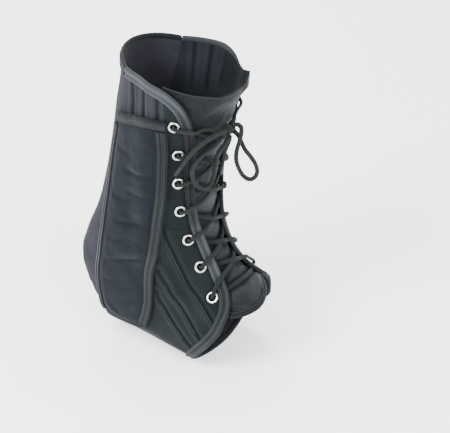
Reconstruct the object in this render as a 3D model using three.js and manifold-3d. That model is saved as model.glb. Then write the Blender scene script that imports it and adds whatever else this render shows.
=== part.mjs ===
// Black lace-up ankle brace for a right foot, in the form it keeps when it is worn and laced
// Frame: +X to the toes, +Y to the inner side of the foot, +Z up, origin on the inner sole below the ankle
import * as THREE from 'three';
import { mergeVertices } from 'three/addons/utils/BufferGeometryUtils.js';
import Module from 'manifold-3d';

const wasm = await Module();
wasm.setup();

// Driving sizes, millimetres
const shaftHeight = 230;      // inner sole to the top edge at the back of the leg
const footReach = 170;        // back of the heel to the end of the tongue
const legWidth = 80;          // inside width at the top edge
const layerGap = 0.3;         // air between two pieces that touch
const skinGap = 0.6;          // air between the worn form and the body of the brace
const tongueCloth = 1.6;      // padded nylon of the tongue
const facingCloth = 1.6;      // doubled nylon that carries the eyelets
const elasticCloth = 1.6;     // knitted elastic at the back and under the foot
const pocketEdge = 1.4;       // stay pocket at its sewn edge
const pocketCrown = 1.5;      // how much the stay and padding lift the middle of the pocket
const pocketLift = 1.2;      // air between the pocket and the cloth below it
const tapeCloth = 0.8;        // thickness of every binding tape
const tapeLift = 0.5;         // air between a tape and the curved cloth below it
const pocketTopTapeWidth = 7.5;
const pocketFrontTapeWidth = 8;
const pocketRearTapeWidth = 3;
const tongueTapeWidth = 4;
const seamGap = 0.4;          // slit between two pieces sewn edge to edge
const eyeletOuter = 9.5;      // flange of an eyelet, across
const eyeletHole = 4.8;       // hole of an eyelet, across
const eyeletWall = 0.4;       // wall of the eyelet's barrel
const eyeletDome = 1.1;       // height of the flange above the facing
const eyeletInset = 12;       // eyelet centre behind the facing's front edge
const eyeletFit = 0.42;       // air round the barrel and below the flange
const laceDiameter = 3.4;
const laceFlatHidden = 1.7;   // lace pressed flat below the facing
const laceFlatOpen = 2.4;     // lace lying on the tongue and over the binding
const tipDiameter = 3.8;
const tipLength = 10;
const knotRadius = 4.8;
const knotFurrow = 0.05;      // share of the radius that each furrow sinks
const edgeTapeWidth = eyeletInset - eyeletOuter / 2 - layerGap;   // the binding ends at the eyelets' flanges

// Mesh fineness
const eyeletSides = 8;
const laceSides = 6;
const cordSides = 8;
const quarterRows = 20;       // rows of the side panels, and of the elastic where it meets them
const quarterColumns = 6;
const facingRows = 20;
const facingColumns = 3;
const pocketRows = 13;
const pocketColumns = 6;
const tongueRows = 16;
const tongueColumns = 8;

const columns = (names, rows) =>
  rows.map((row) => Object.fromEntries(names.split(' ').map((name, k) => [name, row[k]])));

// Worn form: a fan of sections from above the top edge (at < 0) round the instep to the midfoot (at = 1)
// x is a share of footReach, z of shaftHeight, halfWidth of legWidth; the powers square the section off
const formSections = columns('at frontX frontZ backX backZ halfWidth widest frontPower backPower', [
  [-0.15, 0.488, 1.091, -0.077, 1.178, 0.588, 0.489, 2.0, 2.0],
  [0.00, 0.418, 0.913, -0.083, 1.000, 0.500, 0.488, 2.0, 2.0],
  [0.12, 0.365, 0.796, -0.118, 0.865, 0.469, 0.488, 2.0, 2.0],
  [0.24, 0.324, 0.678, -0.148, 0.726, 0.444, 0.48, 2.0, 2.1],
  [0.35, 0.318, 0.570, -0.187, 0.583, 0.438, 0.472, 2.0, 2.2],
  [0.45, 0.324, 0.483, -0.241, 0.439, 0.456, 0.474, 2.0, 2.2],
  [0.54, 0.347, 0.422, -0.323, 0.300, 0.463, 0.469, 2.0, 2.2],
  [0.61, 0.376, 0.383, -0.370, 0.174, 0.456, 0.477, 2.0, 2.3],
  [0.67, 0.406, 0.352, -0.318, 0.061, 0.444, 0.496, 2.0, 2.5],
  [0.73, 0.441, 0.326, -0.212, 0.000, 0.438, 0.52, 2.0, 3.0],
  [0.80, 0.488, 0.296, 0.012, 0.000, 0.438, 0.56, 2.0, 3.6],
  [0.88, 0.553, 0.261, 0.276, 0.000, 0.488, 0.60, 2.1, 4.0],
  [1.00, 0.665, 0.217, 0.553, 0.000, 0.538, 0.60, 2.2, 4.0],
  [1.12, 0.800, 0.178, 0.765, 0.000, 0.588, 0.60, 2.3, 4.0],
]);

// Edge of one side from the elastic over the top, down the front and round the arch to the sole
// across is a share of the half girth, from 0 on the instep to 1 on the back or the sole
const sideEdge = columns('at across', [
  [-0.035, 0.692], [-0.045, 0.593], [-0.052, 0.504], [-0.052, 0.435], [-0.042, 0.376],
  [-0.020, 0.316], [0.012, 0.272], [0.052, 0.235], [0.092, 0.207], [0.136, 0.187],
  [0.196, 0.167], [0.260, 0.152], [0.336, 0.138], [0.424, 0.112], [0.544, 0.077],
  [0.640, 0.067], [0.724, 0.073], [0.820, 0.117], [0.880, 0.179], [0.914, 0.245],
  [0.936, 0.345], [0.936, 0.470], [0.928, 0.590], [0.920, 0.690],
]);
const facingStart = 4.3;      // row of sideEdge where the facing begins
const facingEnd = 19.6;       // row of sideEdge where the facing ends
const medialTuck = 0.14;      // how far the medial corner in front is drawn back, as a share of the half girth
const tuckFrom = 0.870;
const tuckSpan = 0.09;

// Seam between the eyelet facing and the rest of the side
const facingSeam = columns('at across', [
  [-0.047, 0.400], [0.030, 0.380], [0.090, 0.348], [0.150, 0.320], [0.300, 0.288],
  [0.460, 0.281], [0.600, 0.261], [0.740, 0.258], [0.800, 0.275], [0.856, 0.305],
  [0.931, 0.315],
]);

// Rear edge of one side: along the elastic, round the open heel and along the sole seam
const rearSeam = columns('at across', [
  [-0.035, 0.692], [0.080, 0.699], [0.160, 0.703], [0.260, 0.715], [0.350, 0.714],
  [0.430, 0.700], [0.520, 0.669], [0.600, 0.662], [0.660, 0.703], [0.712, 0.742],
  [0.760, 0.722], [0.812, 0.700], [0.920, 0.690],
]);
const heelKink = 9;           // row of rearSeam at the lower end of the open heel
const pocketTail = 10.7;      // row of rearSeam where the stay pocket ends

// Stay pocket: its front edge from the top corner to the sole, and its top edge
const pocketFront = columns('at across', [
  [0.040, 0.362], [0.090, 0.344], [0.142, 0.322], [0.230, 0.302], [0.300, 0.294],
  [0.412, 0.295], [0.500, 0.291], [0.580, 0.297], [0.660, 0.342], [0.732, 0.420],
  [0.775, 0.530], [0.806, 0.660],
]);
const pocketTop = columns('at across', [
  [0.040, 0.362], [0.050, 0.445], [0.072, 0.535], [0.097, 0.622], [0.112, 0.697],
]);
const pocketTopRow = 1.4;     // row of rearSeam at the pocket's top corner

// Elastic at the back: how far down it reaches, from the side seam (0) to the middle of the back (1)
const elasticHem = columns('across at', [
  [0.00, 0.712], [0.06, 0.696], [0.13, 0.680], [0.22, 0.660], [0.32, 0.632], [0.46, 0.594],
  [0.70, 0.566], [1.00, 0.556],
]);
const backTopAt = -0.039;     // top edge of the elastic in the middle of the back
const soleRearDip = 0.056;    // how far the band under the arch is cut away behind, in the middle
const soleFrontReach = 0.015; // how far its front edge bows forwards

// Tongue: half its width and how far it stands off the leg at its top
const tongueWidth = columns('at half', [
  [-0.06, 0.42], [0.10, 0.40], [0.30, 0.36], [0.50, 0.30], [0.70, 0.25], [0.85, 0.26], [0.97, 0.25],
]);
const tongueTip = columns('across at', [
  [-1.0, 0.925], [-0.8, 0.956], [-0.5, 0.975], [-0.25, 0.977], [0.0, 0.967], [0.25, 0.944],
  [0.5, 0.912], [0.75, 0.880], [1.0, 0.848],
]);
const tongueTopAt = -0.052;
const tongueEar = columns('across rise', [
  [-1.0, 0.000], [-0.05, 0.000], [0.12, 0.010], [0.24, 0.030], [0.36, 0.018], [0.52, 0.000], [1.0, 0.000],
]);
const tongueFlare = 2.2;      // the top edge leans away from the leg
const tongueCurl = 2.6;       // its inner top corner rolls outwards

// Where each eyelet stands beside the front edge, the top one first
const eyeletAt = [0.034, 0.152, 0.266, 0.370, 0.498, 0.668, 0.858];

// Bow: places on the worn form and offsets from it, each from the knot outwards
const knotPlace = [0.064, -0.0375, 8.5];
const lateralLoopRoute = columns('at girth offset', [
  [0.070, -0.071, 10.8], [0.080, -0.092, 12.4], [0.105, -0.114, 12.8], [0.128, -0.145, 12.4],
  [0.152, -0.172, 12.4], [0.180, -0.187, 12.5], [0.212, -0.187, 12.3], [0.243, -0.171, 12.1],
  [0.271, -0.145, 12.1], [0.286, -0.110, 12.2], [0.279, -0.081, 12.3], [0.251, -0.065, 12.4],
  [0.196, -0.067, 12.5], [0.138, -0.076, 13.0], [0.104, -0.064, 14.2], [0.078, -0.050, 13.7],
]);
const medialLoopRoute = columns('at girth offset', [
  [0.049, -0.010, 10.2], [0.044, 0.000, 12.8], [0.048, 0.001, 15.7], [0.066, -0.005, 18.0],
  [0.093, -0.010, 19.3], [0.127, -0.013, 20.0], [0.159, -0.011, 21.7], [0.193, -0.002, 25.0],
  [0.226, 0.008, 29.4], [0.242, 0.019, 33.9], [0.224, 0.026, 36.7], [0.193, 0.030, 37.0],
  [0.163, 0.028, 33.7], [0.143, 0.024, 28.5], [0.128, 0.019, 23.5], [0.107, 0.016, 19.2],
  [0.089, 0.010, 16.4], [0.076, -0.002, 14.8], [0.067, -0.014, 13.2],
]);
const lateralTailRoute = columns('at girth offset', [
  [0.053, -0.068, 11.3], [0.053, -0.092, 12.2], [0.063, -0.140, 12.4], [0.088, -0.177, 12.7],
  [0.116, -0.206, 12.9], [0.149, -0.228, 12.9], [0.181, -0.242, 12.2],
]);
const medialTailRoute = columns('at girth offset', [
  [0.084, -0.027, 11.9], [0.100, -0.025, 12.4], [0.123, -0.022, 12.0], [0.151, -0.015, 11.2],
  [0.184, -0.007, 10.8], [0.219, 0.001, 10.6],
]);

// Finishes
const finish = (color, roughness, metalness = 0) => ({ color, roughness, metalness });
const nylon = finish(0x2c3438, 0.75);
const pocketNylon = finish(0x3b424c, 0.8);
const elastic = finish(0x4e4b58, 0.85);
const tape = finish(0x4a525a, 0.7);
const tongueNylon = finish(0x32393b, 0.65);
const nickel = finish(0xd6dcd8, 0.3, 1);
const laceCord = finish(0x262b2b, 0.8);

const brace = new THREE.Group();

function addMesh(name, geometry, look) {
  const mesh = new THREE.Mesh(geometry, new THREE.MeshStandardMaterial(look));
  mesh.name = name;
  brace.add(mesh);
  return mesh;
}

const lerp = (a, b, t) => a + (b - a) * t;
const clamp01 = (t) => Math.min(1, Math.max(0, t));
const smooth = (t) => clamp01(t) ** 2 * (3 - 2 * clamp01(t));

// Smooth value of one column of a table at a given place in another column
function follow(rows, key, by, at) {
  const last = rows.length - 2;
  let i = rows.findIndex((row) => row[by] > at) - 1;
  if (i < 0) i = at <= rows[0][by] ? 0 : last;
  i = Math.min(i, last);
  const slope = (k) => {
    const step = (j) => (rows[j + 1][key] - rows[j][key]) / (rows[j + 1][by] - rows[j][by]);
    if (k === 0) return step(0);
    if (k === rows.length - 1) return step(k - 1);
    const before = rows[k][by] - rows[k - 1][by];
    const after = rows[k + 1][by] - rows[k][by];
    return (step(k - 1) * after + step(k) * before) / (before + after);
  };
  const span = rows[i + 1][by] - rows[i][by];
  const t = (at - rows[i][by]) / span;
  return (2 * t ** 3 - 3 * t ** 2 + 1) * rows[i][key] + (t ** 3 - 2 * t ** 2 + t) * span * slope(i)
    + (3 * t ** 2 - 2 * t ** 3) * rows[i + 1][key] + (t ** 3 - t ** 2) * span * slope(i + 1);
}

// Place [at, across] on a line of rows, for a row number with a fraction
function placeOn(rows, row) {
  const curve = new THREE.CatmullRomCurve3(rows.map((r) => new THREE.Vector3(r.at, r.across, 0)));
  const p = curve.getPoint(clamp01(row / (rows.length - 1)));
  return [p.x, p.y];
}

// The worn form is sampled once on a fine grid of points and outward normals
const gridFrom = -0.14;
const gridStep = 0.01;
const gridRows = 121;
const gridAcross = 100;

function formSection(at) {
  const value = (key) => follow(formSections, key, 'at', at);
  const front = [value('frontX') * footReach, value('frontZ') * shaftHeight];
  const back = [value('backX') * footReach, value('backZ') * shaftHeight];
  const points = [];
  const lengths = [0];
  const steps = 360;
  for (let k = 0; k <= steps; k += 1) {
    const turn = (Math.PI * k) / steps;
    const power = 2 / value(turn <= Math.PI / 2 ? 'frontPower' : 'backPower');
    const along = Math.abs(Math.cos(turn)) ** power;
    const widest = value('widest');
    const share = turn <= Math.PI / 2 ? widest * (1 - along) : widest + (1 - widest) * along;
    const width = value('halfWidth') * legWidth * Math.abs(Math.sin(turn)) ** power;
    points.push(new THREE.Vector3(lerp(front[0], back[0], share), width,
      Math.max(0, lerp(front[1], back[1], share))));
    if (k > 0) lengths.push(lengths[k - 1] + points[k].distanceTo(points[k - 1]));
  }
  const half = lengths[steps];
  const section = [];
  let k = 0;
  for (let j = 0; j <= gridAcross; j += 1) {
    const target = (half * j) / gridAcross;
    while (k < steps - 1 && lengths[k + 1] < target) k += 1;
    section.push(points[k].clone().lerp(points[k + 1], (target - lengths[k]) / (lengths[k + 1] - lengths[k])));
  }
  return { section, half };
}

const formRows = [];
for (let i = 0; i < gridRows; i += 1) formRows.push(formSection(gridFrom + i * gridStep));
const formNormals = formRows.map((row, i) => row.section.map((point, j) => {
  const above = formRows[Math.max(0, i - 1)].section[j];
  const below = formRows[Math.min(gridRows - 1, i + 1)].section[j];
  const mirrored = (index) => {
    const inside = Math.min(gridAcross, Math.abs(index > gridAcross ? 2 * gridAcross - index : index));
    const found = row.section[inside].clone();
    if (index < 0 || index > gridAcross) found.y = -found.y;
    return found;
  };
  const acrossWay = mirrored(j + 1).sub(mirrored(j - 1));
  return below.clone().sub(above).cross(acrossWay).normalize();
}));
const halfGirth = (at) => formRows[Math.round(clamp01((at - gridFrom) / gridStep / (gridRows - 1))
  * (gridRows - 1))].half;

// Point of the form, offset outwards; girth is minus the share on the outer side of the foot, plus on the inner
function onForm(at, girth, offset) {
  const wrapped = THREE.MathUtils.euclideanModulo(girth + 1, 2) - 1;
  const row = Math.min(gridRows - 1.001, Math.max(0, (at - gridFrom) / gridStep));
  const column = Math.min(gridAcross - 1e-6, Math.abs(wrapped) * gridAcross);
  const i = Math.floor(row);
  const j = Math.floor(column);
  const blend = (grid) => grid(i, j).clone().lerp(grid(i, j + 1), column - j)
    .lerp(grid(i + 1, j).clone().lerp(grid(i + 1, j + 1), column - j), row - i);
  const point = blend((a, b) => formRows[a].section[b]);
  const normal = blend((a, b) => formNormals[a][b]).normalize();
  point.addScaledVector(normal, offset);
  if (wrapped < 0) point.y = -point.y;
  return point;
}

const outwardAt = (at, girth) => onForm(at, girth, 1).sub(onForm(at, girth, 0)).normalize();

// Offsets of the layers from the form; the facing stands clear of the tongue and of the lace pressed below it
const tongueInner = layerGap;
const tongueOuter = tongueInner + tongueCloth;
const facingInner = tongueOuter + laceFlatHidden + 2 * layerGap;
const easeSpan = 0.14;

function bodyInner(at, girth) {
  const beyond = (Math.abs(girth) - follow(tongueWidth, 'half', 'at', at) - 0.03) / easeSpan;
  return lerp(facingInner, skinGap, smooth(beyond));
}

const bodyOuter = (at, girth) => bodyInner(at, girth) + facingCloth;
const elasticOuter = (at, girth) => bodyInner(at, girth) + elasticCloth;

// Closed mesh from vertex rows, turned so that its faces point out
function closedGeometry(points, triangles) {
  let volume = 0;
  for (const [a, b, c] of triangles) volume += points[a].dot(points[b].clone().cross(points[c]));
  const geometry = new THREE.BufferGeometry();
  geometry.setAttribute('position', new THREE.Float32BufferAttribute(points.flatMap((p) => p.toArray()), 3));
  geometry.setIndex(triangles.flatMap(([a, b, c]) => (volume > 0 ? [a, b, c] : [a, c, b])));
  geometry.computeVertexNormals();
  return geometry;
}

// Cloth panel: place(s, t) gives [at, girth] and the two offset functions give its inner and outer faces
function clothPanel(rows, across, place, inner, outer) {
  const points = [];
  const triangles = [];
  const width = across.length;
  const layer = rows.length * width;
  for (const offset of [outer, inner]) {
    for (const s of rows) {
      for (const t of across) {
        const [at, girth] = place(s, t);
        points.push(onForm(at, girth, offset(at, girth)));
      }
    }
  }
  const quad = (a, b, c, d) => triangles.push([a, b, c], [a, c, d]);
  for (let i = 0; i < rows.length - 1; i += 1) {
    for (let j = 0; j < width - 1; j += 1) {
      const a = i * width + j;
      quad(a, a + 1, a + width + 1, a + width);
      quad(layer + a, layer + a + width, layer + a + width + 1, layer + a + 1);
    }
  }
  const rim = [];
  for (let j = 0; j < width; j += 1) rim.push(j);
  for (let i = 1; i < rows.length; i += 1) rim.push(i * width + width - 1);
  for (let j = width - 2; j >= 0; j -= 1) rim.push((rows.length - 1) * width + j);
  for (let i = rows.length - 2; i > 0; i -= 1) rim.push(i * width);
  rim.forEach((a, k) => {
    const b = rim[(k + 1) % rim.length];
    quad(b, a, layer + a, layer + b);
  });
  return closedGeometry(points, triangles);
}

const evenly = (count) => Array.from({ length: count + 1 }, (_, k) => k / count);

// Four-sided panel between lines that meet at its corners, each a function from 0 to 1
function between(front, rear, top, bottom) {
  return (s, t) => {
    const [a, b, c, d] = [front(s), rear(s), top(t), bottom(t)];
    return [0, 1].map((k) => lerp(a[k], b[k], t) + lerp(c[k], d[k], s)
      - lerp(lerp(front(0)[k], rear(0)[k], t), lerp(front(1)[k], rear(1)[k], t), s));
  };
}

const along = (rows, from, to) => (s) => placeOn(rows, lerp(from, to, s));
const rearAcross = (at) => follow(rearSeam, 'across', 'at', at);
const rearLine = (from, to) => (s) => {
  const [at] = placeOn(rearSeam, lerp(from, to, s));
  return [at, rearAcross(at)];
};
// A place on one side, with the medial corner in front drawn back round the foot past the last eyelet
const tucked = (side, [at, across]) => {
  const tuck = side > 0 ? medialTuck * smooth((at - tuckFrom) / tuckSpan) * smooth((0.6 - across) / 0.4) : 0;
  return [at, side * (across + tuck)];
};
const onSide = (side, place) => (s, t) => tucked(side, place(s, t));

// How far a place [at, girth] moves for each millimetre square to a line, at a given offset from the form
function squareStep(at, girth, level, atWay, girthWay, inward) {
  const h = 0.004;
  const byAt = onForm(at + h, girth, level).sub(onForm(at - h, girth, level)).divideScalar(2 * h);
  const byGirth = onForm(at, girth + h, level).sub(onForm(at, girth - h, level)).divideScalar(2 * h);
  const way = byAt.clone().multiplyScalar(atWay).addScaledVector(byGirth, girthWay).normalize();
  const into = outwardAt(at, girth).cross(way).multiplyScalar(inward).normalize();
  const [e, f, g] = [byAt.dot(byAt), byAt.dot(byGirth), byGirth.dot(byGirth)];
  const [p, q] = [into.dot(byAt), into.dot(byGirth)];
  return [(p * g - q * f) / (e * g - f * f), (q * e - p * f) / (e * g - f * f)];
}

// Tape or binding: a flat section swept along a route of [at, girth] places
// section rows are [in from the route, above the base]; inward is +1 or -1 for the side that it turns to
function tapeAlong(route, section, base, inward) {
  const points = [];
  const triangles = [];
  const size = section.length;
  route.forEach(([at, girth], k) => {
    const before = route[Math.max(0, k - 1)];
    const after = route[Math.min(route.length - 1, k + 1)];
    const step = squareStep(at, girth, base(at, girth), after[0] - before[0], after[1] - before[1], inward);
    for (const [inside, above] of section) {
      const there = [at + inside * step[0], girth + inside * step[1]];
      points.push(onForm(there[0], there[1], base(there[0], there[1]) + above));
    }
  });
  for (let k = 0; k < route.length - 1; k += 1) {
    for (let j = 0; j < size; j += 1) {
      const [a, b] = [k * size + j, k * size + ((j + 1) % size)];
      triangles.push([a, b, b + size], [a, b + size, a + size]);
    }
  }
  const end = (route.length - 1) * size;
  for (let j = 0; j < size - 2; j += 1) {
    triangles.push([size - 1, j + 1, j], [end + size - 1, end + j, end + j + 1]);
  }
  return closedGeometry(points, triangles);
}

const foldOver = tapeCloth + layerGap;
const bindingSection = (width, clothBelow) => [
  [width, tapeLift], [width, tapeLift + tapeCloth], [-foldOver, tapeLift + tapeCloth],
  [-foldOver, -clothBelow], [-layerGap, -clothBelow], [-layerGap, tapeLift],
];
const flatSection = (from, to) => [
  [from, tapeLift], [from, tapeLift + tapeCloth], [to, tapeLift + tapeCloth], [to, tapeLift],
];

// Closed mesh of one of the library's shapes, its doubled corners welded
function welded(geometry) {
  geometry.deleteAttribute('normal');
  geometry.deleteAttribute('uv');
  return mergeVertices(geometry, 1e-4);
}

// Solid of one closed mesh, and back
function asSolid(geometry) {
  const merged = welded(geometry.clone());
  return new wasm.Manifold(new wasm.Mesh({
    numProp: 3,
    vertProperties: new Float32Array(merged.attributes.position.array),
    triVerts: new Uint32Array(merged.index.array),
  }));
}

function asGeometry(solid) {
  const { numProp, vertProperties, triVerts } = solid.getMesh();
  const geometry = new THREE.BufferGeometry();
  const positions = [];
  for (let k = 0; k < vertProperties.length; k += numProp) {
    positions.push(vertProperties[k], vertProperties[k + 1], vertProperties[k + 2]);
  }
  geometry.setAttribute('position', new THREE.Float32BufferAttribute(positions, 3));
  geometry.setIndex(Array.from(triVerts));
  geometry.computeVertexNormals();
  return geometry;
}

// Across share of the facing's front edge at a given place down the front
const frontEdgeRows = sideEdge.slice(5, 20);
const edgeAcross = (at) => follow(frontEdgeRows, 'across', 'at', at);
const eyeletPlaces = eyeletAt.map((at) => {
  const across = edgeAcross(at);
  const slope = (edgeAcross(at + gridStep) - edgeAcross(at - gridStep)) / (2 * gridStep);
  const step = squareStep(at, across, bodyOuter(at, across), 1, slope, 1);
  const way = Math.sign(step[1]);
  return { at: at + way * eyeletInset * step[0], across: across + way * eyeletInset * step[1] };
});

// Axis of an eyelet: where it stands on the facing and which way it looks
function eyeletSeat(side, { at, across }) {
  const girth = side * across;
  const outward = outwardAt(at, girth);
  const turn = new THREE.Quaternion().setFromUnitVectors(new THREE.Vector3(0, 1, 0), outward);
  return { centre: onForm(at, girth, bodyOuter(at, girth)), turn };
}

// Eyelet facing: doubled nylon from the front edge to the facing seam, with a round hole for each eyelet
function eyeletFacing(side) {
  const frontLine = along(sideEdge, facingStart, facingEnd);
  const rearLine = along(facingSeam, 0, facingSeam.length - 1);
  const place = (s, t) => {
    const [a, b] = [frontLine(s), rearLine(s)];
    return [lerp(a[0], b[0], t), lerp(a[1], b[1], t)];
  };
  const cloth = clothPanel(evenly(facingRows), evenly(facingColumns), onSide(side, place),
    bodyInner, bodyOuter);
  let solid = asSolid(cloth);
  const holeRadius = eyeletHole / 2 + eyeletWall + eyeletFit;
  for (const eyelet of eyeletPlaces) {
    const { centre, turn } = eyeletSeat(side, eyelet);
    const drill = new THREE.CylinderGeometry(holeRadius, holeRadius, 4 * facingCloth, eyeletSides);
    drill.applyQuaternion(turn).translate(centre.x, centre.y, centre.z);
    solid = solid.subtract(asSolid(drill));
  }
  return asGeometry(solid);
}

const quarterStart = 3.55;    // row of sideEdge where the side behind the facing begins
const quarterEnd = 19.8;      // row of sideEdge where it ends in front
const cornerSpan = 0.08;      // share of the seam over which its ends are drawn to the corners

// Side of the brace behind the facing: top edge, facing seam, front of the arch, sole seam and elastic seam
function sideQuarter(side) {
  const seamShare = (at) => seamGap / halfGirth(at);
  const front = (s) => {
    const [at, across] = placeOn(facingSeam, s * (facingSeam.length - 1));
    return [at, across + seamShare(at)];
  };
  const top = (t) => placeOn(sideEdge, lerp(quarterStart, 0, t));
  const bottom = (t) => placeOn(sideEdge, lerp(quarterEnd, sideEdge.length - 1, t));
  const rear = rearLine(0, rearSeam.length - 1);
  // the seam as it is, drawn to the two corners only in its last stretches
  const frontLine = (s) => [0, 1].map((k) => front(s)[k]
    + (top(0)[k] - front(0)[k]) * (1 - smooth(s / cornerSpan))
    + (bottom(0)[k] - front(1)[k]) * smooth((s - 1 + cornerSpan) / cornerSpan));
  return clothPanel(evenly(quarterRows), evenly(quarterColumns), onSide(side, between(frontLine, rear, top, bottom)),
    bodyInner, bodyOuter);
}

// Padded pocket that holds the stay, sewn on the side behind the facing
const pocketBase = (at, girth) => bodyOuter(at, girth) + pocketLift;
const pocketEdgeLevel = (at, girth) => pocketBase(at, girth) + pocketEdge;

function stayPocket(side) {
  const front = along(pocketFront, 0, pocketFront.length - 1);
  const rear = rearLine(pocketTopRow, pocketTail);
  const top = (t) => {
    const [at, across] = placeOn(pocketTop, t * (pocketTop.length - 1));
    const corner = rear(0);
    return [lerp(at, at + corner[0] - pocketTop[4].at, t), lerp(across, across + corner[1] - pocketTop[4].across, t)];
  };
  const bottom = (t) => [0, 1].map((k) => lerp(front(1)[k], rear(1)[k], t));
  const place = between(front, rear, top, bottom);
  const crownAt = new Map();
  const rows = evenly(pocketRows);
  const across = evenly(pocketColumns);
  const keyOf = (at, girth) => `${at.toFixed(6)} ${girth.toFixed(6)}`;
  for (const s of rows) {
    for (const t of across) {
      const [at, share] = place(s, t);
      const width = (rear(s)[1] - front(s)[1]) * halfGirth(at);
      const rise = smooth((Math.min(t, 1 - t) * width - 8.5) / 8) * smooth(s * 14 - 1) * smooth((1 - s) * 8);
      crownAt.set(keyOf(at, side * share), rise * pocketCrown);
    }
  }
  return clothPanel(rows, across, onSide(side, place), pocketBase,
    (at, girth) => pocketEdgeLevel(at, girth) + crownAt.get(keyOf(at, girth)));
}

// Places of the elastic pieces: between the two rear seams, at stations that the quarters also have there
const rearStations = evenly(quarterRows).map((k) => rearLine(0, rearSeam.length - 1)(k)[0]);
const acrossElastic = [0, 0.06, 0.13, 0.22, 0.32, 0.46, 0.7, 1];
const bothWays = [...acrossElastic.map((share) => share - 1),
  ...acrossElastic.slice(0, -1).reverse().map((share) => 1 - share)];

function elasticPlace(first, last, startAt, endAt) {
  const [from, to] = [rearStations[first], rearStations[last]];
  return (s, t) => {
    const share = 1 - Math.abs(t);
    const station = rearStations[Math.round(lerp(first, last, s))];
    const at = lerp(startAt(share), endAt(share), (station - from) / (to - from));
    const seam = rearAcross(at) + seamGap / halfGirth(at);
    return [at, 1 + Math.sign(t) * (1 - lerp(seam, 1, share))];
  };
}

// Elastic back from one side seam round the back of the leg to the other, open over the heel
const kinkStation = Math.round((quarterRows * heelKink) / (rearSeam.length - 1));
const backPlace = elasticPlace(0, kinkStation, (share) => lerp(rearStations[0], backTopAt, share),
  (share) => follow(elasticHem, 'at', 'across', share));

// Band under the arch that joins the two sides, its ends cut in shallow bows
const bowed = (share) => Math.sin((share * Math.PI) / 2);
const solePlace = elasticPlace(kinkStation, quarterRows, (share) => rearStations[kinkStation] + soleRearDip * bowed(share),
  (share) => rearStations[quarterRows] + soleFrontReach * bowed(share));

// Tongue below the lacing, wrapped over the front of the leg and the instep
function tonguePlace(s, t) {
  const start = tongueTopAt - follow(tongueEar, 'rise', 'across', t);
  const at = lerp(start, follow(tongueTip, 'at', 'across', t), s);
  return [at, t * follow(tongueWidth, 'half', 'at', at)];
}

function tongueLift(at, girth) {
  const nearTop = smooth((0.03 - at) / 0.08);
  const nearFront = 1 - smooth((Math.abs(girth) - 0.10) / 0.11);
  const innerCorner = smooth((girth - 0.02) / 0.09) * nearFront;
  return nearTop * nearFront * tongueFlare + nearTop ** 3 * innerCorner * tongueCurl;
}

const tongueUnder = (at, girth) => tongueInner + tongueLift(at, girth);
const tongueFace = (at, girth) => tongueOuter + tongueLift(at, girth);

// Rolled metal eyelet, turned about its own axis
function eyeletRing() {
  const hole = eyeletHole / 2;
  const barrel = hole + eyeletWall;
  const rim = eyeletOuter / 2;
  const profile = [
    [hole, -facingCloth], [barrel, -facingCloth], [barrel, eyeletFit], [rim, eyeletFit],
    [rim * 0.92, eyeletDome * 0.85], [rim * 0.68, eyeletDome], [hole, eyeletDome * 0.5], [hole, -facingCloth],
  ];
  const ring = new THREE.LatheGeometry(profile.map(([r, y]) => new THREE.Vector2(r, y)), eyeletSides);
  const merged = welded(ring);
  merged.computeVertexNormals();
  return merged;
}

// Laced stretch: through every eyelet from below, over the binding, across the tongue and below the other side
const laceUnder = tongueOuter + layerGap + laceFlatHidden / 2;
const laceOnTongue = tongueOuter + 2 * layerGap + laceFlatOpen / 2;
const laceLift = 0.5;         // the lace is stiff, so it stands a little off what it crosses
const laceOver = facingInner + facingCloth + Math.max(eyeletDome, tapeLift + tapeCloth) + laceLift
  + laceFlatOpen / 2;
const laceRelax = 20;         // how far from the edge a strand comes down on the tongue
const laceCrossingGap = laceFlatOpen + 0.4;
const halfWide = laceDiameter / 2;

// One place on the lace: where it is and how thick it is pressed there
const laceStop = (at, girth, offset, thick, wide = halfWide) => ({
  at, girth, offset, thick: thick / 2, wide,
});

function eyeletStops(side, k) {
  const { at, across } = eyeletPlaces[k];
  const inBarrel = halfWide * 0.85;
  const pulled = 0.7 / halfGirth(at);
  return [
    laceStop(at, side * across, laceUnder, laceFlatHidden, inBarrel),
    laceStop(at, side * (across - pulled), laceOver, laceFlatOpen, inBarrel),
  ];
}

// Height of a strand that comes down from the edge, by how far past the binding it is
const comingDown = (past, reach) => lerp(laceOver, laceOnTongue, 1 - (1 - clamp01(past / reach)) ** 2);

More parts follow.
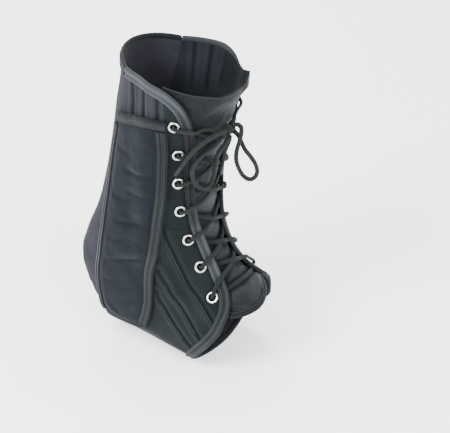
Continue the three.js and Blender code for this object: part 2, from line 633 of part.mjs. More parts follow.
// From eyelet k on one side over its edge, across, and below the other edge towards eyelet k - 1
function crossingStops(side, k, isUpper) {
  const [from, to] = [eyeletPlaces[k], eyeletPlaces[k - 1]];
  const line = (f) => [lerp(from.at, to.at, f), lerp(side * from.across, -side * to.across, f)];
  const arc = (f) => line(f)[1] * side * halfGirth(line(f)[0]);
  let leave = 0;
  while (Math.abs(line(leave)[1]) > edgeAcross(line(leave)[0])) leave += 0.002;
  let arrive = 1;
  while (Math.abs(line(arrive)[1]) > edgeAcross(line(arrive)[0])) arrive -= 0.002;
  const middle = from.across / (from.across + to.across);
  const pastBinding = foldOver + 0.9 * halfWide;
  const [start, end] = [arc(leave) - pastBinding, arc(arrive) + pastBinding + 1];
  const reach = Math.min(laceRelax, 1.6 * start);
  const flatTop = start > 15 ? 3.4 : 1.8;
  const height = (f) => {
    const here = arc(f);
    const lying = comingDown(start - here, reach);
    if (!isUpper) return lying;
    const top = comingDown(start, reach) + laceCrossingGap;
    return Math.max(lying, lerp(top, laceOnTongue, clamp01((Math.abs(here) - flatTop) / (Math.abs(end) - flatTop))));
  };
  const stops = [laceStop(...line(leave * 0.7), laceOver, laceFlatOpen)];
  const wide = start > 15;
  const marks = isUpper ? [start, flatTop, -flatTop, end] : [start, start * 0.45, -1, end];
  if (wide) marks.push(isUpper ? start * 0.55 : start * 0.7, end * 0.4, end * 0.7);
  const shareAt = (distance) => {
    let f = leave;
    while (arc(f) > distance && f < arrive) f += 0.002;
    return f;
  };
  for (const mark of marks.sort((a, b) => b - a)) {
    const f = shareAt(mark);
    stops.push(laceStop(...line(f), height(f), laceFlatOpen));
  }
  stops.push(laceStop(...line(shareAt(arc(arrive))), laceUnder, laceFlatHidden));
  stops.push(laceStop(...line(lerp(arrive, 1, 0.6)), laceUnder, laceFlatHidden));
  return stops;
}

// From the top eyelet over its edge and along the tongue to the knot
function knotStops(side) {
  const from = eyeletPlaces[0];
  const [knotAt, knotAcross, knotOffset] = knotPlace;
  const reach = (1.05 * (knotRadius + layerGap)) / halfGirth(knotAt);
  const line = (f) => [lerp(from.at, knotAt, f), lerp(side * from.across, knotAcross + side * reach, f)];
  let leave = 0;
  while (Math.abs(line(leave)[1]) > edgeAcross(line(leave)[0])) leave += 0.002;
  const stops = [0.7 * leave, 1.1 * leave].map((f) => laceStop(...line(f), laceOver, laceFlatOpen));
  for (const share of [0.3, 0.55, 0.8, 1]) {
    const f = lerp(leave, 1, share);
    const rising = smooth((share - 0.5) / 0.5);
    const offset = lerp(comingDown(share * laceRelax * 1.6, laceRelax) + 0.6, knotOffset - 1.2, rising);
    stops.push(laceStop(...line(f), offset, lerp(laceFlatOpen, laceDiameter * 0.9, rising)));
  }
  return stops;
}

function lacePath() {
  const bottomRow = eyeletPlaces.length - 1;
  const climb = (startSide) => {
    const stops = [];
    let side = startSide;
    for (let k = bottomRow; k > 0; k -= 1) {
      stops.push(...eyeletStops(side, k), ...crossingStops(side, k, (k % 2 === 0) === (startSide > 0)));
      side = -side;
    }
    stops.push(...eyeletStops(side, 0), ...knotStops(side));
    return stops;
  };
  const { at, across } = eyeletPlaces[bottomRow];
  const edge = edgeAcross(at);
  const bar = [across * 0.8, edge, edge * 0.55, 0, -edge * 0.55, -edge, -across * 0.8].map((girth) => {
    const hidden = Math.abs(girth) >= edge - 1e-9;
    return laceStop(at, girth, hidden ? laceUnder : laceOnTongue, hidden ? laceFlatHidden : laceFlatOpen);
  });
  return [...climb(1).reverse(), ...bar, ...climb(-1)];
}

// Sweep of a pressed round section through the stops, mitred where the lace turns
function lacedCord(stops) {
  const centres = stops.map((stop) => onForm(stop.at, stop.girth, stop.offset));
  const points = [];
  const triangles = [];
  let previous = null;
  stops.forEach((stop, k) => {
    const centre = centres[k];
    const arriving = centre.clone().sub(centres[Math.max(0, k - 1)]).normalize();
    const leaving = centres[Math.min(stops.length - 1, k + 1)].clone().sub(centre).normalize();
    const way = arriving.clone().add(leaving).normalize();
    const outward = outwardAt(stop.at, stop.girth);
    const sideways = outward.cross(way).normalize();
    const upwards = way.clone().cross(sideways).normalize();
    const mitre = 1 / Math.max(0.6, way.dot(k === 0 ? leaving : arriving));
    const ring = (shift) => Array.from({ length: laceSides }, (_, j) => {
      const turn = (2 * Math.PI * (j + shift)) / laceSides;
      return centre.clone().addScaledVector(sideways, stop.wide * Math.cos(turn))
        .addScaledVector(upwards, stop.thick * mitre * Math.sin(turn));
    });
    let best = ring(0);
    if (previous) {
      const twist = (candidate) => candidate.reduce((sum, p, j) => sum + p.distanceToSquared(previous[j]), 0);
      for (let shift = 1; shift < laceSides; shift += 1) {
        const candidate = ring(shift);
        if (twist(candidate) < twist(best)) best = candidate;
      }
    }
    points.push(...best);
    previous = best;
  });
  for (let k = 0; k < stops.length - 1; k += 1) {
    for (let j = 0; j < laceSides; j += 1) {
      const [a, b] = [k * laceSides + j, k * laceSides + ((j + 1) % laceSides)];
      triangles.push([a, b, b + laceSides], [a, b + laceSides, a + laceSides]);
    }
  }
  const end = (stops.length - 1) * laceSides;
  for (let j = 1; j < laceSides - 1; j += 1) {
    triangles.push([0, j + 1, j], [end, end + j, end + j + 1]);
  }
  return closedGeometry(points, triangles);
}

// Free cord of the bow along its own route from the knot
const knotCentre = onForm(...knotPlace);
const routeCurve = (route) => new THREE.CatmullRomCurve3(
  route.map(({ at, girth, offset }) => onForm(at, girth, offset)), false, 'centripetal');

function roundSection(radius, sides) {
  const shape = new THREE.Shape();
  for (let j = 0; j < sides; j += 1) {
    const turn = (2 * Math.PI * j) / sides;
    const point = [radius * Math.cos(turn), radius * Math.sin(turn)];
    if (j === 0) shape.moveTo(...point);
    else shape.lineTo(...point);
  }
  shape.closePath();
  return shape;
}

function sweptTube(curve, diameter, steps) {
  const tube = new THREE.ExtrudeGeometry(roundSection(diameter / 2, cordSides), {
    steps, extrudePath: curve, bevelEnabled: false,
  });
  const merged = welded(tube);
  merged.computeVertexNormals();
  return merged;
}

const freeCord = (route) => {
  const curve = routeCurve(route);
  return sweptTube(curve, laceDiameter, Math.ceil(curve.getLength() / (2 * laceDiameter)));
};

// Moulded tip on the end of a tail, in line with it
function laceTip(route) {
  const curve = routeCurve(route);
  const way = curve.getTangent(1);
  const start = curve.getPoint(1).addScaledVector(way, layerGap);
  const tip = new THREE.CylinderGeometry(tipDiameter * 0.4, tipDiameter / 2, tipLength, cordSides);
  tip.translate(0, tipLength / 2, 0);
  tip.applyQuaternion(new THREE.Quaternion().setFromUnitVectors(new THREE.Vector3(0, 1, 0), way));
  tip.translate(start.x, start.y, start.z);
  return asGeometry(asSolid(tip));
}

// Knot: a round lump with the furrows of the turns wound over it
function bowKnot() {
  const ball = welded(new THREE.SphereGeometry(knotRadius, 12, 8));
  const place = ball.attributes.position;
  for (let k = 0; k < place.count; k += 1) {
    const p = new THREE.Vector3().fromBufferAttribute(place, k);
    const furrow = 1 - knotFurrow * (1 - Math.cos(3 * Math.atan2(p.z, p.x))) * (1 - (p.y / knotRadius) ** 2);
    p.multiplyScalar(furrow).add(knotCentre);
    place.setXYZ(k, p.x, p.y, p.z);
  }
  ball.computeVertexNormals();
  return ball;
}

const stations = (from, to, count) => evenly(count).map((t) => lerp(from, to, t));
const edgeStations = [...stations(0, 5, 8), ...stations(5, 18, 16).slice(1), ...stations(18, 23, 12).slice(1)];
const sides = [['lateral', -1], ['medial', 1]];
const reaching = (line, count) => evenly(count).map(line);
const signed = (side, route) => route.map((place) => tucked(side, place));

addMesh('sole_strap', clothPanel(evenly(quarterRows - kinkStation), bothWays, solePlace, bodyInner, elasticOuter),
  elastic);
addMesh('heel_back_panel', clothPanel(evenly(kinkStation), bothWays, backPlace, bodyInner, elasticOuter), elastic);
for (const [name, side] of sides) {
  addMesh(`quarter_${name}`, sideQuarter(side), nylon);
  addMesh(`eyelet_facing_${name}`, eyeletFacing(side), nylon);
  addMesh(`stay_pocket_${name}`, stayPocket(side), pocketNylon);

  const topTape = reaching(along(pocketTop, 0.25, pocketTop.length - 1.05), 8);
  addMesh(`pocket_top_tape_${name}`, tapeAlong(signed(side, topTape), flatSection(0, pocketTopTapeWidth),
    pocketEdgeLevel, -side), tape);
  const frontTape = reaching(along(pocketFront, 1.25, pocketFront.length - 1.1), 17);
  addMesh(`pocket_front_tape_${name}`, tapeAlong(signed(side, frontTape), flatSection(0, pocketFrontTapeWidth),
    pocketEdgeLevel, side), tape);
  const rearTape = reaching(rearLine(2.1, heelKink), 12);
  addMesh(`pocket_rear_tape_${name}`, tapeAlong(signed(side, rearTape), flatSection(0, pocketRearTapeWidth),
    pocketEdgeLevel, -side), tape);
  const edge = edgeStations.map((row) => placeOn(sideEdge, row));
  addMesh(`edge_binding_${name}`, tapeAlong(signed(side, edge), bindingSection(edgeTapeWidth, facingCloth),
    bodyOuter, side), tape);
}

const backTop = bothWays.map((t) => backPlace(0, t * 0.985));
addMesh('back_top_binding', tapeAlong(backTop, bindingSection(edgeTapeWidth, elasticCloth), elasticOuter, -1), tape);
const soleFront = bothWays.map((t) => solePlace(1, t * 0.985));
addMesh('sole_front_binding', tapeAlong(soleFront, bindingSection(edgeTapeWidth, elasticCloth), elasticOuter, 1),
  tape);

addMesh('tongue', clothPanel(evenly(tongueRows), evenly(tongueColumns).map((t) => 2 * t - 1), tonguePlace,
  tongueUnder, tongueFace), tongueNylon);
const tongueEdge = evenly(16).map((t) => tonguePlace(1, 2 * t - 1));
addMesh('tongue_binding', tapeAlong(tongueEdge, bindingSection(tongueTapeWidth, tongueCloth), tongueFace, 1),
  tape);

for (const [name, side] of sides) {
  eyeletPlaces.forEach((eyelet, k) => {
    const { centre, turn } = eyeletSeat(side, eyelet);
    const ring = addMesh(`eyelet_${name}_${k + 1}`, eyeletRing(), nickel);
    ring.position.copy(centre);
    ring.quaternion.copy(turn);
  });
}

addMesh('lace', lacedCord(lacePath()), laceCord);
addMesh('bow_knot', bowKnot(), laceCord);
addMesh('bow_loop_lateral', freeCord(lateralLoopRoute), laceCord);
addMesh('bow_loop_medial', freeCord(medialLoopRoute), laceCord);
addMesh('lace_tail_lateral', freeCord(lateralTailRoute), laceCord);
addMesh('lace_tail_medial', freeCord(medialTailRoute), laceCord);
addMesh('lace_tip_lateral', laceTip(lateralTailRoute), laceCord);
addMesh('lace_tip_medial', laceTip(medialTailRoute), laceCord);

export default brace;
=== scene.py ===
import math

import bmesh
import bpy
import numpy as np
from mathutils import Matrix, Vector


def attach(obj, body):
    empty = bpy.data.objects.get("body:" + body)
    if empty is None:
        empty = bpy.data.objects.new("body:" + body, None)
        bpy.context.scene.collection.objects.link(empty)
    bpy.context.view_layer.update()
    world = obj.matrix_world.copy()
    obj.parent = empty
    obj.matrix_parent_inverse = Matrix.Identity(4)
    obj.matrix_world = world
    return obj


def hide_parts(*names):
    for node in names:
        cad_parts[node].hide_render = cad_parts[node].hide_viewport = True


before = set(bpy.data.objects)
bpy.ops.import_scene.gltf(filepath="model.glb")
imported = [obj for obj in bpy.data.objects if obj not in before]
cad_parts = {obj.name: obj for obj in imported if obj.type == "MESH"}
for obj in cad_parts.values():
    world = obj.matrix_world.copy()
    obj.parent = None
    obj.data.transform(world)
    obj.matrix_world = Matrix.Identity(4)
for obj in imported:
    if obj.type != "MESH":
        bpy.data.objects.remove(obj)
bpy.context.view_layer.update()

# Camera
# A long lens about a metre away, above the outer side of the foot and a little ahead of it,
# so that the lacing and the outer stay pocket both show.
aim = Vector((0.020, 0.0, 0.090))
camera_turn, camera_rise, camera_distance = math.radians(35.0), math.radians(30.5), 1.0
behind_lens = Vector((math.sin(camera_turn) * math.cos(camera_rise),
                      -math.cos(camera_turn) * math.cos(camera_rise), math.sin(camera_rise)))
camera_data = bpy.data.cameras.new("camera")
camera_data.sensor_width = 36.0
camera_data.lens = 100.6
camera_data.shift_x = 0.1196
camera_data.shift_y = 0.0200
camera_data.clip_start, camera_data.clip_end = 0.05, 30.0
camera = bpy.data.objects.new("camera", camera_data)
camera.location = aim + behind_lens * camera_distance
camera.rotation_mode = "QUATERNION"
camera.rotation_quaternion = (-behind_lens).to_track_quat("-Z", "Y")
bpy.context.scene.collection.objects.link(camera)
bpy.context.scene.camera = camera

# Bow
# The bow is the two ends of one braided polyester cord, tied over the tongue in two loops and
# two tails with pressed tips. Every place on the brace is read on the worn form: a station down
# the fan from the top edge (0) to the midfoot (1), a share of the half girth, and an offset in mm.
leg_height, foot_reach, leg_width = 230.0, 170.0, 80.0
# station, frontX, frontZ, backX, backZ, halfWidth, widest, frontPower, backPower
form_sections = np.array([
    [-0.15, 0.488, 1.091, -0.077, 1.178, 0.588, 0.489, 2.0, 2.0],
    [0.00, 0.418, 0.913, -0.083, 1.000, 0.500, 0.488, 2.0, 2.0],
    [0.12, 0.365, 0.796, -0.118, 0.865, 0.469, 0.488, 2.0, 2.0],
    [0.24, 0.324, 0.678, -0.148, 0.726, 0.444, 0.48, 2.0, 2.1],
    [0.35, 0.318, 0.570, -0.187, 0.583, 0.438, 0.472, 2.0, 2.2],
    [0.45, 0.324, 0.483, -0.241, 0.439, 0.456, 0.474, 2.0, 2.2],
    [0.54, 0.347, 0.422, -0.323, 0.300, 0.463, 0.469, 2.0, 2.2],
    [0.61, 0.376, 0.383, -0.370, 0.174, 0.456, 0.477, 2.0, 2.3],
    [0.67, 0.406, 0.352, -0.318, 0.061, 0.444, 0.496, 2.0, 2.5],
    [0.73, 0.441, 0.326, -0.212, 0.000, 0.438, 0.52, 2.0, 3.0],
    [0.80, 0.488, 0.296, 0.012, 0.000, 0.438, 0.56, 2.0, 3.6],
    [0.88, 0.553, 0.261, 0.276, 0.000, 0.488, 0.60, 2.1, 4.0],
    [1.00, 0.665, 0.217, 0.553, 0.000, 0.538, 0.60, 2.2, 4.0],
    [1.12, 0.800, 0.178, 0.765, 0.000, 0.588, 0.60, 2.3, 4.0]])
form_from, form_step, form_rows, form_columns = -0.14, 0.01, 121, 100


def follow(places, values, at):
    """The value at a place, on a smooth curve through a table's places and values."""
    places, values, at = np.asarray(places, float), np.asarray(values, float), np.asarray(at, float)
    i = np.clip(np.searchsorted(places, at, side="right") - 1, 0, len(places) - 2)
    span = np.diff(places)
    slope = np.diff(values) / span
    tangent = np.concatenate([slope[:1], (slope[:-1] * span[1:] + slope[1:] * span[:-1])
                              / (span[:-1] + span[1:]), slope[-1:]])
    t, h = (at - places[i]) / span[i], span[i]
    return ((2 * t**3 - 3 * t**2 + 1) * values[i] + (t**3 - 2 * t**2 + t) * h * tangent[i]
            + (3 * t**2 - 2 * t**3) * values[i + 1] + (t**3 - t**2) * h * tangent[i + 1])


def smooth(t):
    t = np.clip(t, 0.0, 1.0)
    return t * t * (3 - 2 * t)


def mix(a, b, t):
    return a + (b - a) * t


def form_section(at):
    """Half a section of the form, evenly from its front to its back, and its length in mm."""
    front_x, front_z, back_x, back_z, half_width, widest, front_power, back_power = (
        float(follow(form_sections[:, 0], form_sections[:, k], at)) for k in range(1, 9))
    turn = np.linspace(0, math.pi, 361)
    power = 2 / np.where(turn <= math.pi / 2, front_power, back_power)
    deep = np.abs(np.cos(turn)) ** power
    share = np.where(turn <= math.pi / 2, widest * (1 - deep), widest + (1 - widest) * deep)
    points = np.stack([mix(front_x, back_x, share) * foot_reach,
                       half_width * leg_width * np.abs(np.sin(turn)) ** power,
                       np.maximum(0, mix(front_z, back_z, share) * leg_height)], axis=-1)
    run = np.concatenate([[0], np.cumsum(np.linalg.norm(np.diff(points, axis=0), axis=1))])
    even = np.linspace(0, run[-1], form_columns + 1)
    return np.stack([np.interp(even, run, points[:, k]) for k in range(3)], axis=-1), run[-1]


sections = [form_section(form_from + k * form_step) for k in range(form_rows)]
form_half = np.array([half for _, half in sections])
form_points = np.array([section for section, _ in sections])
flip_y = np.array([1.0, -1.0, 1.0])
form_wide = np.concatenate(
    [form_points[:, 2:0:-1] * flip_y, form_points, form_points[:, -2:-4:-1] * flip_y], axis=1)
down_way = np.gradient(form_wide, axis=0)
across_way = np.gradient(form_wide, axis=1)
form_normals = np.cross(down_way, across_way)
form_normals /= np.linalg.norm(form_normals, axis=-1, keepdims=True)


def softened(grid, row, column):
    """A grid of points read smoothly between its rows and columns."""
    i, j = np.floor(row).astype(int), np.floor(column).astype(int)
    weights = []
    for f in (row - i, column - j):
        weights.append(np.stack([-0.5 * f**3 + f**2 - 0.5 * f, 1.5 * f**3 - 2.5 * f**2 + 1,
                                 -1.5 * f**3 + 2 * f**2 + 0.5 * f, 0.5 * f**3 - 0.5 * f**2], -1))
    total = 0
    for a in range(4):
        for b in range(4):
            share = weights[0][..., a] * weights[1][..., b]
            total = total + share[..., None] * grid[i - 1 + a, j - 1 + b]
    return total


def on_form(at, girth, offset=0.0):
    """Points in mm at stations and signed shares of the half girth, offset outwards."""
    at, girth, offset = np.broadcast_arrays(*(np.asarray(value, float) for value in (at, girth, offset)))
    wrapped = np.mod(girth + 1, 2) - 1
    row = np.clip((at - form_from) / form_step, 1, form_rows - 2.001)
    column = np.minimum(np.abs(wrapped) * form_columns, form_columns - 1e-6) + 2
    point, normal = softened(form_wide, row, column), softened(form_normals, row, column)
    point = point + normal / np.linalg.norm(normal, axis=-1, keepdims=True) * offset[..., None]
    return point * np.where(wrapped < 0, -1.0, 1.0)[..., None] ** np.array([0, 1, 0])


def outward(at, girth):
    way = on_form(at, girth, 1.0) - on_form(at, girth, 0.0)
    return way / np.linalg.norm(way, axis=-1, keepdims=True)


def half_girth(at):
    return np.interp(at, form_from + np.arange(form_rows) * form_step, form_half)


def through(rows, row):
    """Points of a centripetal curve through rows, at row numbers with a fraction."""
    rows, row = np.asarray(rows, float), np.asarray(row, float)
    points = np.vstack([2 * rows[0] - rows[1], rows, 2 * rows[-1] - rows[-2]])
    row = np.clip(row, 0, len(rows) - 1)
    i = np.minimum(row.astype(int), len(rows) - 2)
    w = (row - i)[..., None]
    p = [points[i + k] for k in range(4)]
    d = [np.sqrt(np.linalg.norm(p[k + 1] - p[k], axis=-1, keepdims=True)) for k in range(3)]
    first = ((p[1] - p[0]) / d[0] - (p[2] - p[0]) / (d[0] + d[1]) + (p[2] - p[1]) / d[1]) * d[1]
    second = ((p[2] - p[1]) / d[1] - (p[3] - p[1]) / (d[1] + d[2]) + (p[3] - p[2]) / d[2]) * d[1]
    return (p[1] + first * w + (-3 * p[1] + 3 * p[2] - 2 * first - second) * w**2
            + (2 * p[1] - 2 * p[2] + first + second) * w**3)


def evenly_along(points, step):
    run = np.concatenate([[0], np.cumsum(np.linalg.norm(np.diff(points, axis=0), axis=1))])
    even = np.linspace(0, run[-1], max(2, int(round(run[-1] / step)) + 1))
    return np.stack([np.interp(even, run, points[:, k]) for k in range(points.shape[1])], axis=-1)


class Value:
    """One output socket, so that a pattern reads as an expression."""

    def __init__(self, finish, socket):
        self.finish, self.socket = finish, socket

    def maths(self, operation, *others):
        return self.finish.node("Math", {"operation": operation}, dict(enumerate((self, *others))))

    def __add__(self, other):
        return self.maths("ADD", other)

    def __sub__(self, other):
        return self.maths("SUBTRACT", other)

    def __mul__(self, other):
        return self.maths("MULTIPLY", other)

    def __pow__(self, other):
        return self.maths("POWER", other)

    def __rsub__(self, other):
        return self.finish.node("Math", {"operation": "SUBTRACT"}, {0: other, 1: self})

    __radd__, __rmul__ = __add__, __mul__

    def sine(self):
        return self.maths("SINE")

    def size(self):
        return self.maths("ABSOLUTE")

    def least(self, other):
        return self.maths("MINIMUM", other)

    def most(self, other):
        return self.maths("MAXIMUM", other)

    def between(self, low, high):
        return self.finish.node("MapRange", {"interpolation_type": "SMOOTHSTEP"},
                                {"Value": self, "From Min": low, "From Max": high})

    def part(self, name):
        return Value(self.finish, self.socket.node.outputs[name])


class Finish:
    """A material's nodes, each made by one call."""

    def __init__(self, name):
        self.material = bpy.data.materials.new(name)
        self.material.use_nodes = True
        self.tree = self.material.node_tree
        self.tree.nodes.clear()

    def node(self, kind, settings=None, sockets=None, stops=None):
        node = self.tree.nodes.new("ShaderNode" + kind)
        for key, value in (settings or {}).items():
            setattr(node, key, value)
        for k, (place, colour) in enumerate(stops or ()):
            stop = node.color_ramp.elements[k] if k < 2 else node.color_ramp.elements.new(place)
            stop.position, stop.color = place, (*colour, 1.0)
        for key, value in (sockets or {}).items():
            if isinstance(value, Value):
                self.tree.links.new(value.socket, node.inputs[key])
            else:
                node.inputs[key].default_value = (*value, 1.0) if (
                    isinstance(value, tuple) and node.inputs[key].type == "RGBA") else value
        shown = [socket for socket in node.outputs if socket.enabled]
        return Value(self, shown[0]) if shown else None

    def blended(self, factor, first, second, how="MIX"):
        mixed = self.node("Mix", {"data_type": "RGBA", "blend_type": how})
        node = mixed.socket.node
        for key, value in ((0, factor), (6, first), (7, second)):
            if isinstance(value, Value):
                self.tree.links.new(value.socket, node.inputs[key])
            else:
                node.inputs[key].default_value = value if key == 0 else (*value, 1.0)
        return Value(self, node.outputs[2])

    def noise(self, scale, detail=2.0, roughness=0.5):
        """Cloudy variation on the object's own coordinates."""
        place = self.node("TexCoord").part("Object")
        return self.node("TexNoise", None, {"Vector": place, "Scale": scale, "Detail": detail,
                                            "Roughness": roughness})

    def raised(self, height, depth, below=None):
        sockets = {"Height": height, "Distance": depth, "Strength": 1.0}
        if below is not None:
            sockets["Normal"] = below
        return self.node("Bump", None, sockets)

    def close(self, sockets):
        shader = self.node("BsdfPrincipled", None, sockets)
        self.node("OutputMaterial", None, {"Surface": shader})
        return self.material


def cord_finish(name, dark, light, pitch):
    """Braided cord: strands that cross on a helix, from a map of turns round and millimetres along."""
    finish = Finish(name)
    lay = finish.node("SeparateXYZ", None, {0: finish.node("UVMap", {"uv_map": "cord"})})
    around, along_mm = lay * (4 * math.tau), lay.part("Y") * (math.tau / pitch)
    strands = ((along_mm + around).sine() * (along_mm - around).sine()).size() ** 0.55
    fuzz = finish.noise(900.0, 3.0)
    # Painted highlight: the strands' raised crowns are paler.
    colour = finish.blended(strands * 0.75 + fuzz * 0.3, dark, light)
    bump = finish.raised(strands + fuzz * 0.25, 0.00035)
    return finish.close({"Base Color": colour, "Roughness": 0.72, "Normal": bump, "Specular IOR Level": 0.16,
                         "Sheen Weight": 0.03, "Sheen Roughness": 0.45, "Sheen Tint": (0.75, 0.78, 0.8)})


lace_finish = cord_finish("braided_lace", (0.0010, 0.0016, 0.0016), (0.0105, 0.0130, 0.0130), 2.6)


def mesh_piece(name, points, faces, material, uv=None, uv_name="cloth", wear_and_painted_light=None, sharp=0.9):
    """One closed mesh in the frame, from points in mm. Its colour shift per point: above 0 paler, for wear
    and painted highlights; below 0 darker, for painted shade.
    """
    mesh = bpy.data.meshes.new(name)
    mesh.from_pydata((np.asarray(points) * 0.001).tolist(), [], [list(face) for face in faces])
    if uv is not None:
        layer = mesh.uv_layers.new(name=uv_name)
        corner = np.empty(len(mesh.loops), dtype=np.int32)
        mesh.loops.foreach_get("vertex_index", corner)
        layer.data.foreach_set("uv", np.asarray(uv, dtype=np.float32)[corner].ravel())
    worn_and_lit = mesh.attributes.new("wear_and_painted_light", "FLOAT", "POINT")
    wear_and_painted_light = np.zeros(len(points)) if wear_and_painted_light is None else wear_and_painted_light
    worn_and_lit.data.foreach_set("value", np.asarray(wear_and_painted_light, np.float32))
    work = bmesh.new()
    work.from_mesh(mesh)
    bmesh.ops.recalc_face_normals(work, faces=work.faces)
    for face in work.faces:
        face.smooth = True
    for edge in work.edges:
        edge.smooth = len(edge.link_faces) == 2 and edge.calc_face_angle(0.0) < sharp
    work.to_mesh(mesh)
    work.free()
    mesh.materials.append(material)
    piece = bpy.data.objects.new(name, mesh)
    bpy.context.scene.collection.objects.link(piece)
    return piece


def swept(rings):
    """Faces of a tube through rings of equally many points, with its two ends closed."""
    count, size = rings.shape[:2]
    faces = []
    for k in range(count - 1):
        for j in range(size):
            a, b = k * size + j, k * size + (j + 1) % size
            faces.append((a, b, b + size, a + size))
    faces.append(tuple(range(size))[::-1])
    faces.append(tuple((count - 1) * size + j for j in range(size)))
    return faces


def cord_rings(path, wide, thick, lean, sides):
    """Rings of a cord pressed to wide by thick; lean is the way that its thickness points."""
    way = np.gradient(path, axis=0)
    way /= np.linalg.norm(way, axis=1, keepdims=True)
    rings, last = [], None
    for k in range(len(path)):
        flat = lean[k] - way[k] * np.dot(lean[k], way[k])
        side = np.cross(flat, way[k])
        if last is not None and np.linalg.norm(flat) < 0.45:
            side = last - way[k] * np.dot(last, way[k])
        side /= np.linalg.norm(side)
        if last is not None:
            if np.dot(side, last) < 0:
                side = -side
            side = side * 0.5 + last * 0.5
            side -= way[k] * np.dot(side, way[k])
            side /= np.linalg.norm(side)
        last = side
        up = np.cross(way[k], side)
        turn = np.linspace(0, math.tau, sides, endpoint=False)[:, None]
        rings.append(path[k] + side * np.cos(turn) * wide[k] / 2 + up * np.sin(turn) * thick[k] / 2)
    return np.array(rings)


def cord_piece(name, path, wide, thick, lean, material, sides=14):
    rings = cord_rings(path, wide, thick, lean, sides)
    run = np.concatenate([[0], np.cumsum(np.linalg.norm(np.diff(path, axis=0), axis=1))])
    uv = np.stack([np.tile(np.arange(sides) / sides, len(path)), np.repeat(run, sides)], axis=-1)
    return mesh_piece(name, rings.reshape(-1, 3), swept(rings), material, uv, "cord", sharp=1.2)


lace_width, tip_length, knot_size = 3.4, 10.0, 4.8
# station, girth and offset from the form in millimetres, here and in each route
knot_place = (0.064, -0.0375, 8.5)
bow_routes = {
    "bow_loop_lateral": [
        [0.070, -0.071, 10.8], [0.080, -0.092, 12.4], [0.105, -0.114, 12.8], [0.128, -0.145, 12.4],
        [0.152, -0.172, 12.4], [0.180, -0.187, 12.5], [0.212, -0.187, 12.3], [0.243, -0.171, 12.1],
        [0.271, -0.145, 12.1], [0.286, -0.110, 12.2], [0.279, -0.081, 12.3], [0.251, -0.065, 12.4],
        [0.196, -0.067, 12.5], [0.138, -0.076, 13.0], [0.104, -0.064, 14.2], [0.078, -0.050, 13.7]],
    "bow_loop_medial": [
        [0.049, -0.010, 10.2], [0.044, 0.000, 12.8], [0.048, 0.001, 15.7], [0.066, -0.005, 18.0],
        [0.093, -0.010, 19.3], [0.127, -0.013, 20.0], [0.159, -0.011, 21.7], [0.193, -0.002, 25.0],
        [0.226, 0.008, 29.4], [0.242, 0.019, 33.9], [0.224, 0.026, 36.7], [0.193, 0.030, 37.0],
        [0.163, 0.028, 33.7], [0.143, 0.024, 28.5], [0.128, 0.019, 23.5], [0.107, 0.016, 19.2],
        [0.089, 0.010, 16.4], [0.076, -0.002, 14.8], [0.067, -0.014, 13.2]],
    "lace_tail_lateral": [
        [0.053, -0.068, 11.3], [0.053, -0.092, 12.2], [0.063, -0.140, 12.4], [0.088, -0.177, 12.7],
        [0.116, -0.206, 12.9], [0.149, -0.228, 12.9], [0.181, -0.242, 12.2]],
    "lace_tail_medial": [
        [0.084, -0.027, 11.9], [0.100, -0.025, 12.4], [0.123, -0.022, 12.0], [0.151, -0.015, 11.2],
        [0.184, -0.007, 10.8], [0.219, 0.001, 10.6]],
}
tip_finish = Finish("pressed_tip")
tip_noise = tip_finish.noise(700.0)
tip_material = tip_finish.close({
    "Base Color": tip_finish.blended(tip_noise, (0.002, 0.0025, 0.0026), (0.006, 0.007, 0.0075)),
    "Roughness": 0.42, "Specular IOR Level": 0.2, "Normal": tip_finish.raised(tip_noise, 0.00008)})
ring_start = np.array([0.3, -0.5, 0.8])
for name, route in bow_routes.items():
    knots = np.array([on_form(*row) for row in route])
    path = evenly_along(through(knots, np.linspace(0, len(knots) - 1, 40 * len(knots))), 0.8)
    count = len(path)
    width = lace_width * (1 + 0.03 * np.sin(np.arange(count) * 0.21))
    cord = cord_piece(f"braided_{name}", path, width, width, np.tile(ring_start, (count, 1)), lace_finish)
    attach(cord, "root")
    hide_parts(name)
    if "tail" in name:
        way = (path[-1] - path[-3]) / np.linalg.norm(path[-1] - path[-3])
        marks = np.array([0, 0.4, 1.0, 3.0, 6.0, 8.6, 9.5, tip_length])
        width = np.array([2.6, 3.4, 3.5, 3.1, 3.3, 3.4, 3.0, 2.2])
        tip_path = path[-1] + 0.3 * way + marks[:, None] * way
        tip_name = name.replace("tail", "tip")
        tip = cord_piece(f"pressed_{tip_name}", tip_path, width, width, np.tile(ring_start, (len(marks), 1)),
                         tip_material, 20)
        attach(tip, "root")
        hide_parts(tip_name)
    tuple(path[0] * 0.001)
    (path * 0.001).tolist()

# Elastic back and band under the arch
# Knitted elastic closes the brace behind the leg, open over the heel, and a second piece of it
# runs under the arch. Both are single cloth, sewn to the two sides along the rear seam.
layer_gap, skin_gap, cloth_wall = 0.3, 0.6, 1.6
lace_pressed, lace_open = 1.7, 2.4
tongue_inner = layer_gap
tongue_outer = tongue_inner + cloth_wall
facing_inner = tongue_outer + lace_pressed + 2 * layer_gap
tongue_half = np.array([
    [-0.06, 0.42], [0.10, 0.40], [0.30, 0.36], [0.50, 0.30], [0.70, 0.25], [0.85, 0.26], [0.97, 0.25]])
rear_seam = np.array([
    [-0.035, 0.692], [0.080, 0.699], [0.160, 0.703], [0.260, 0.715], [0.350, 0.714], [0.430, 0.700],
    [0.520, 0.669], [0.600, 0.662], [0.660, 0.703], [0.712, 0.742], [0.760, 0.722], [0.812, 0.700],
    [0.920, 0.690]])
elastic_hem = np.array([
    [0.00, 0.712], [0.06, 0.696], [0.13, 0.680], [0.22, 0.660], [0.32, 0.632], [0.46, 0.594],
    [0.70, 0.566], [1.00, 0.556]])
kink_row, foot_row, back_columns = 9, 12, 121


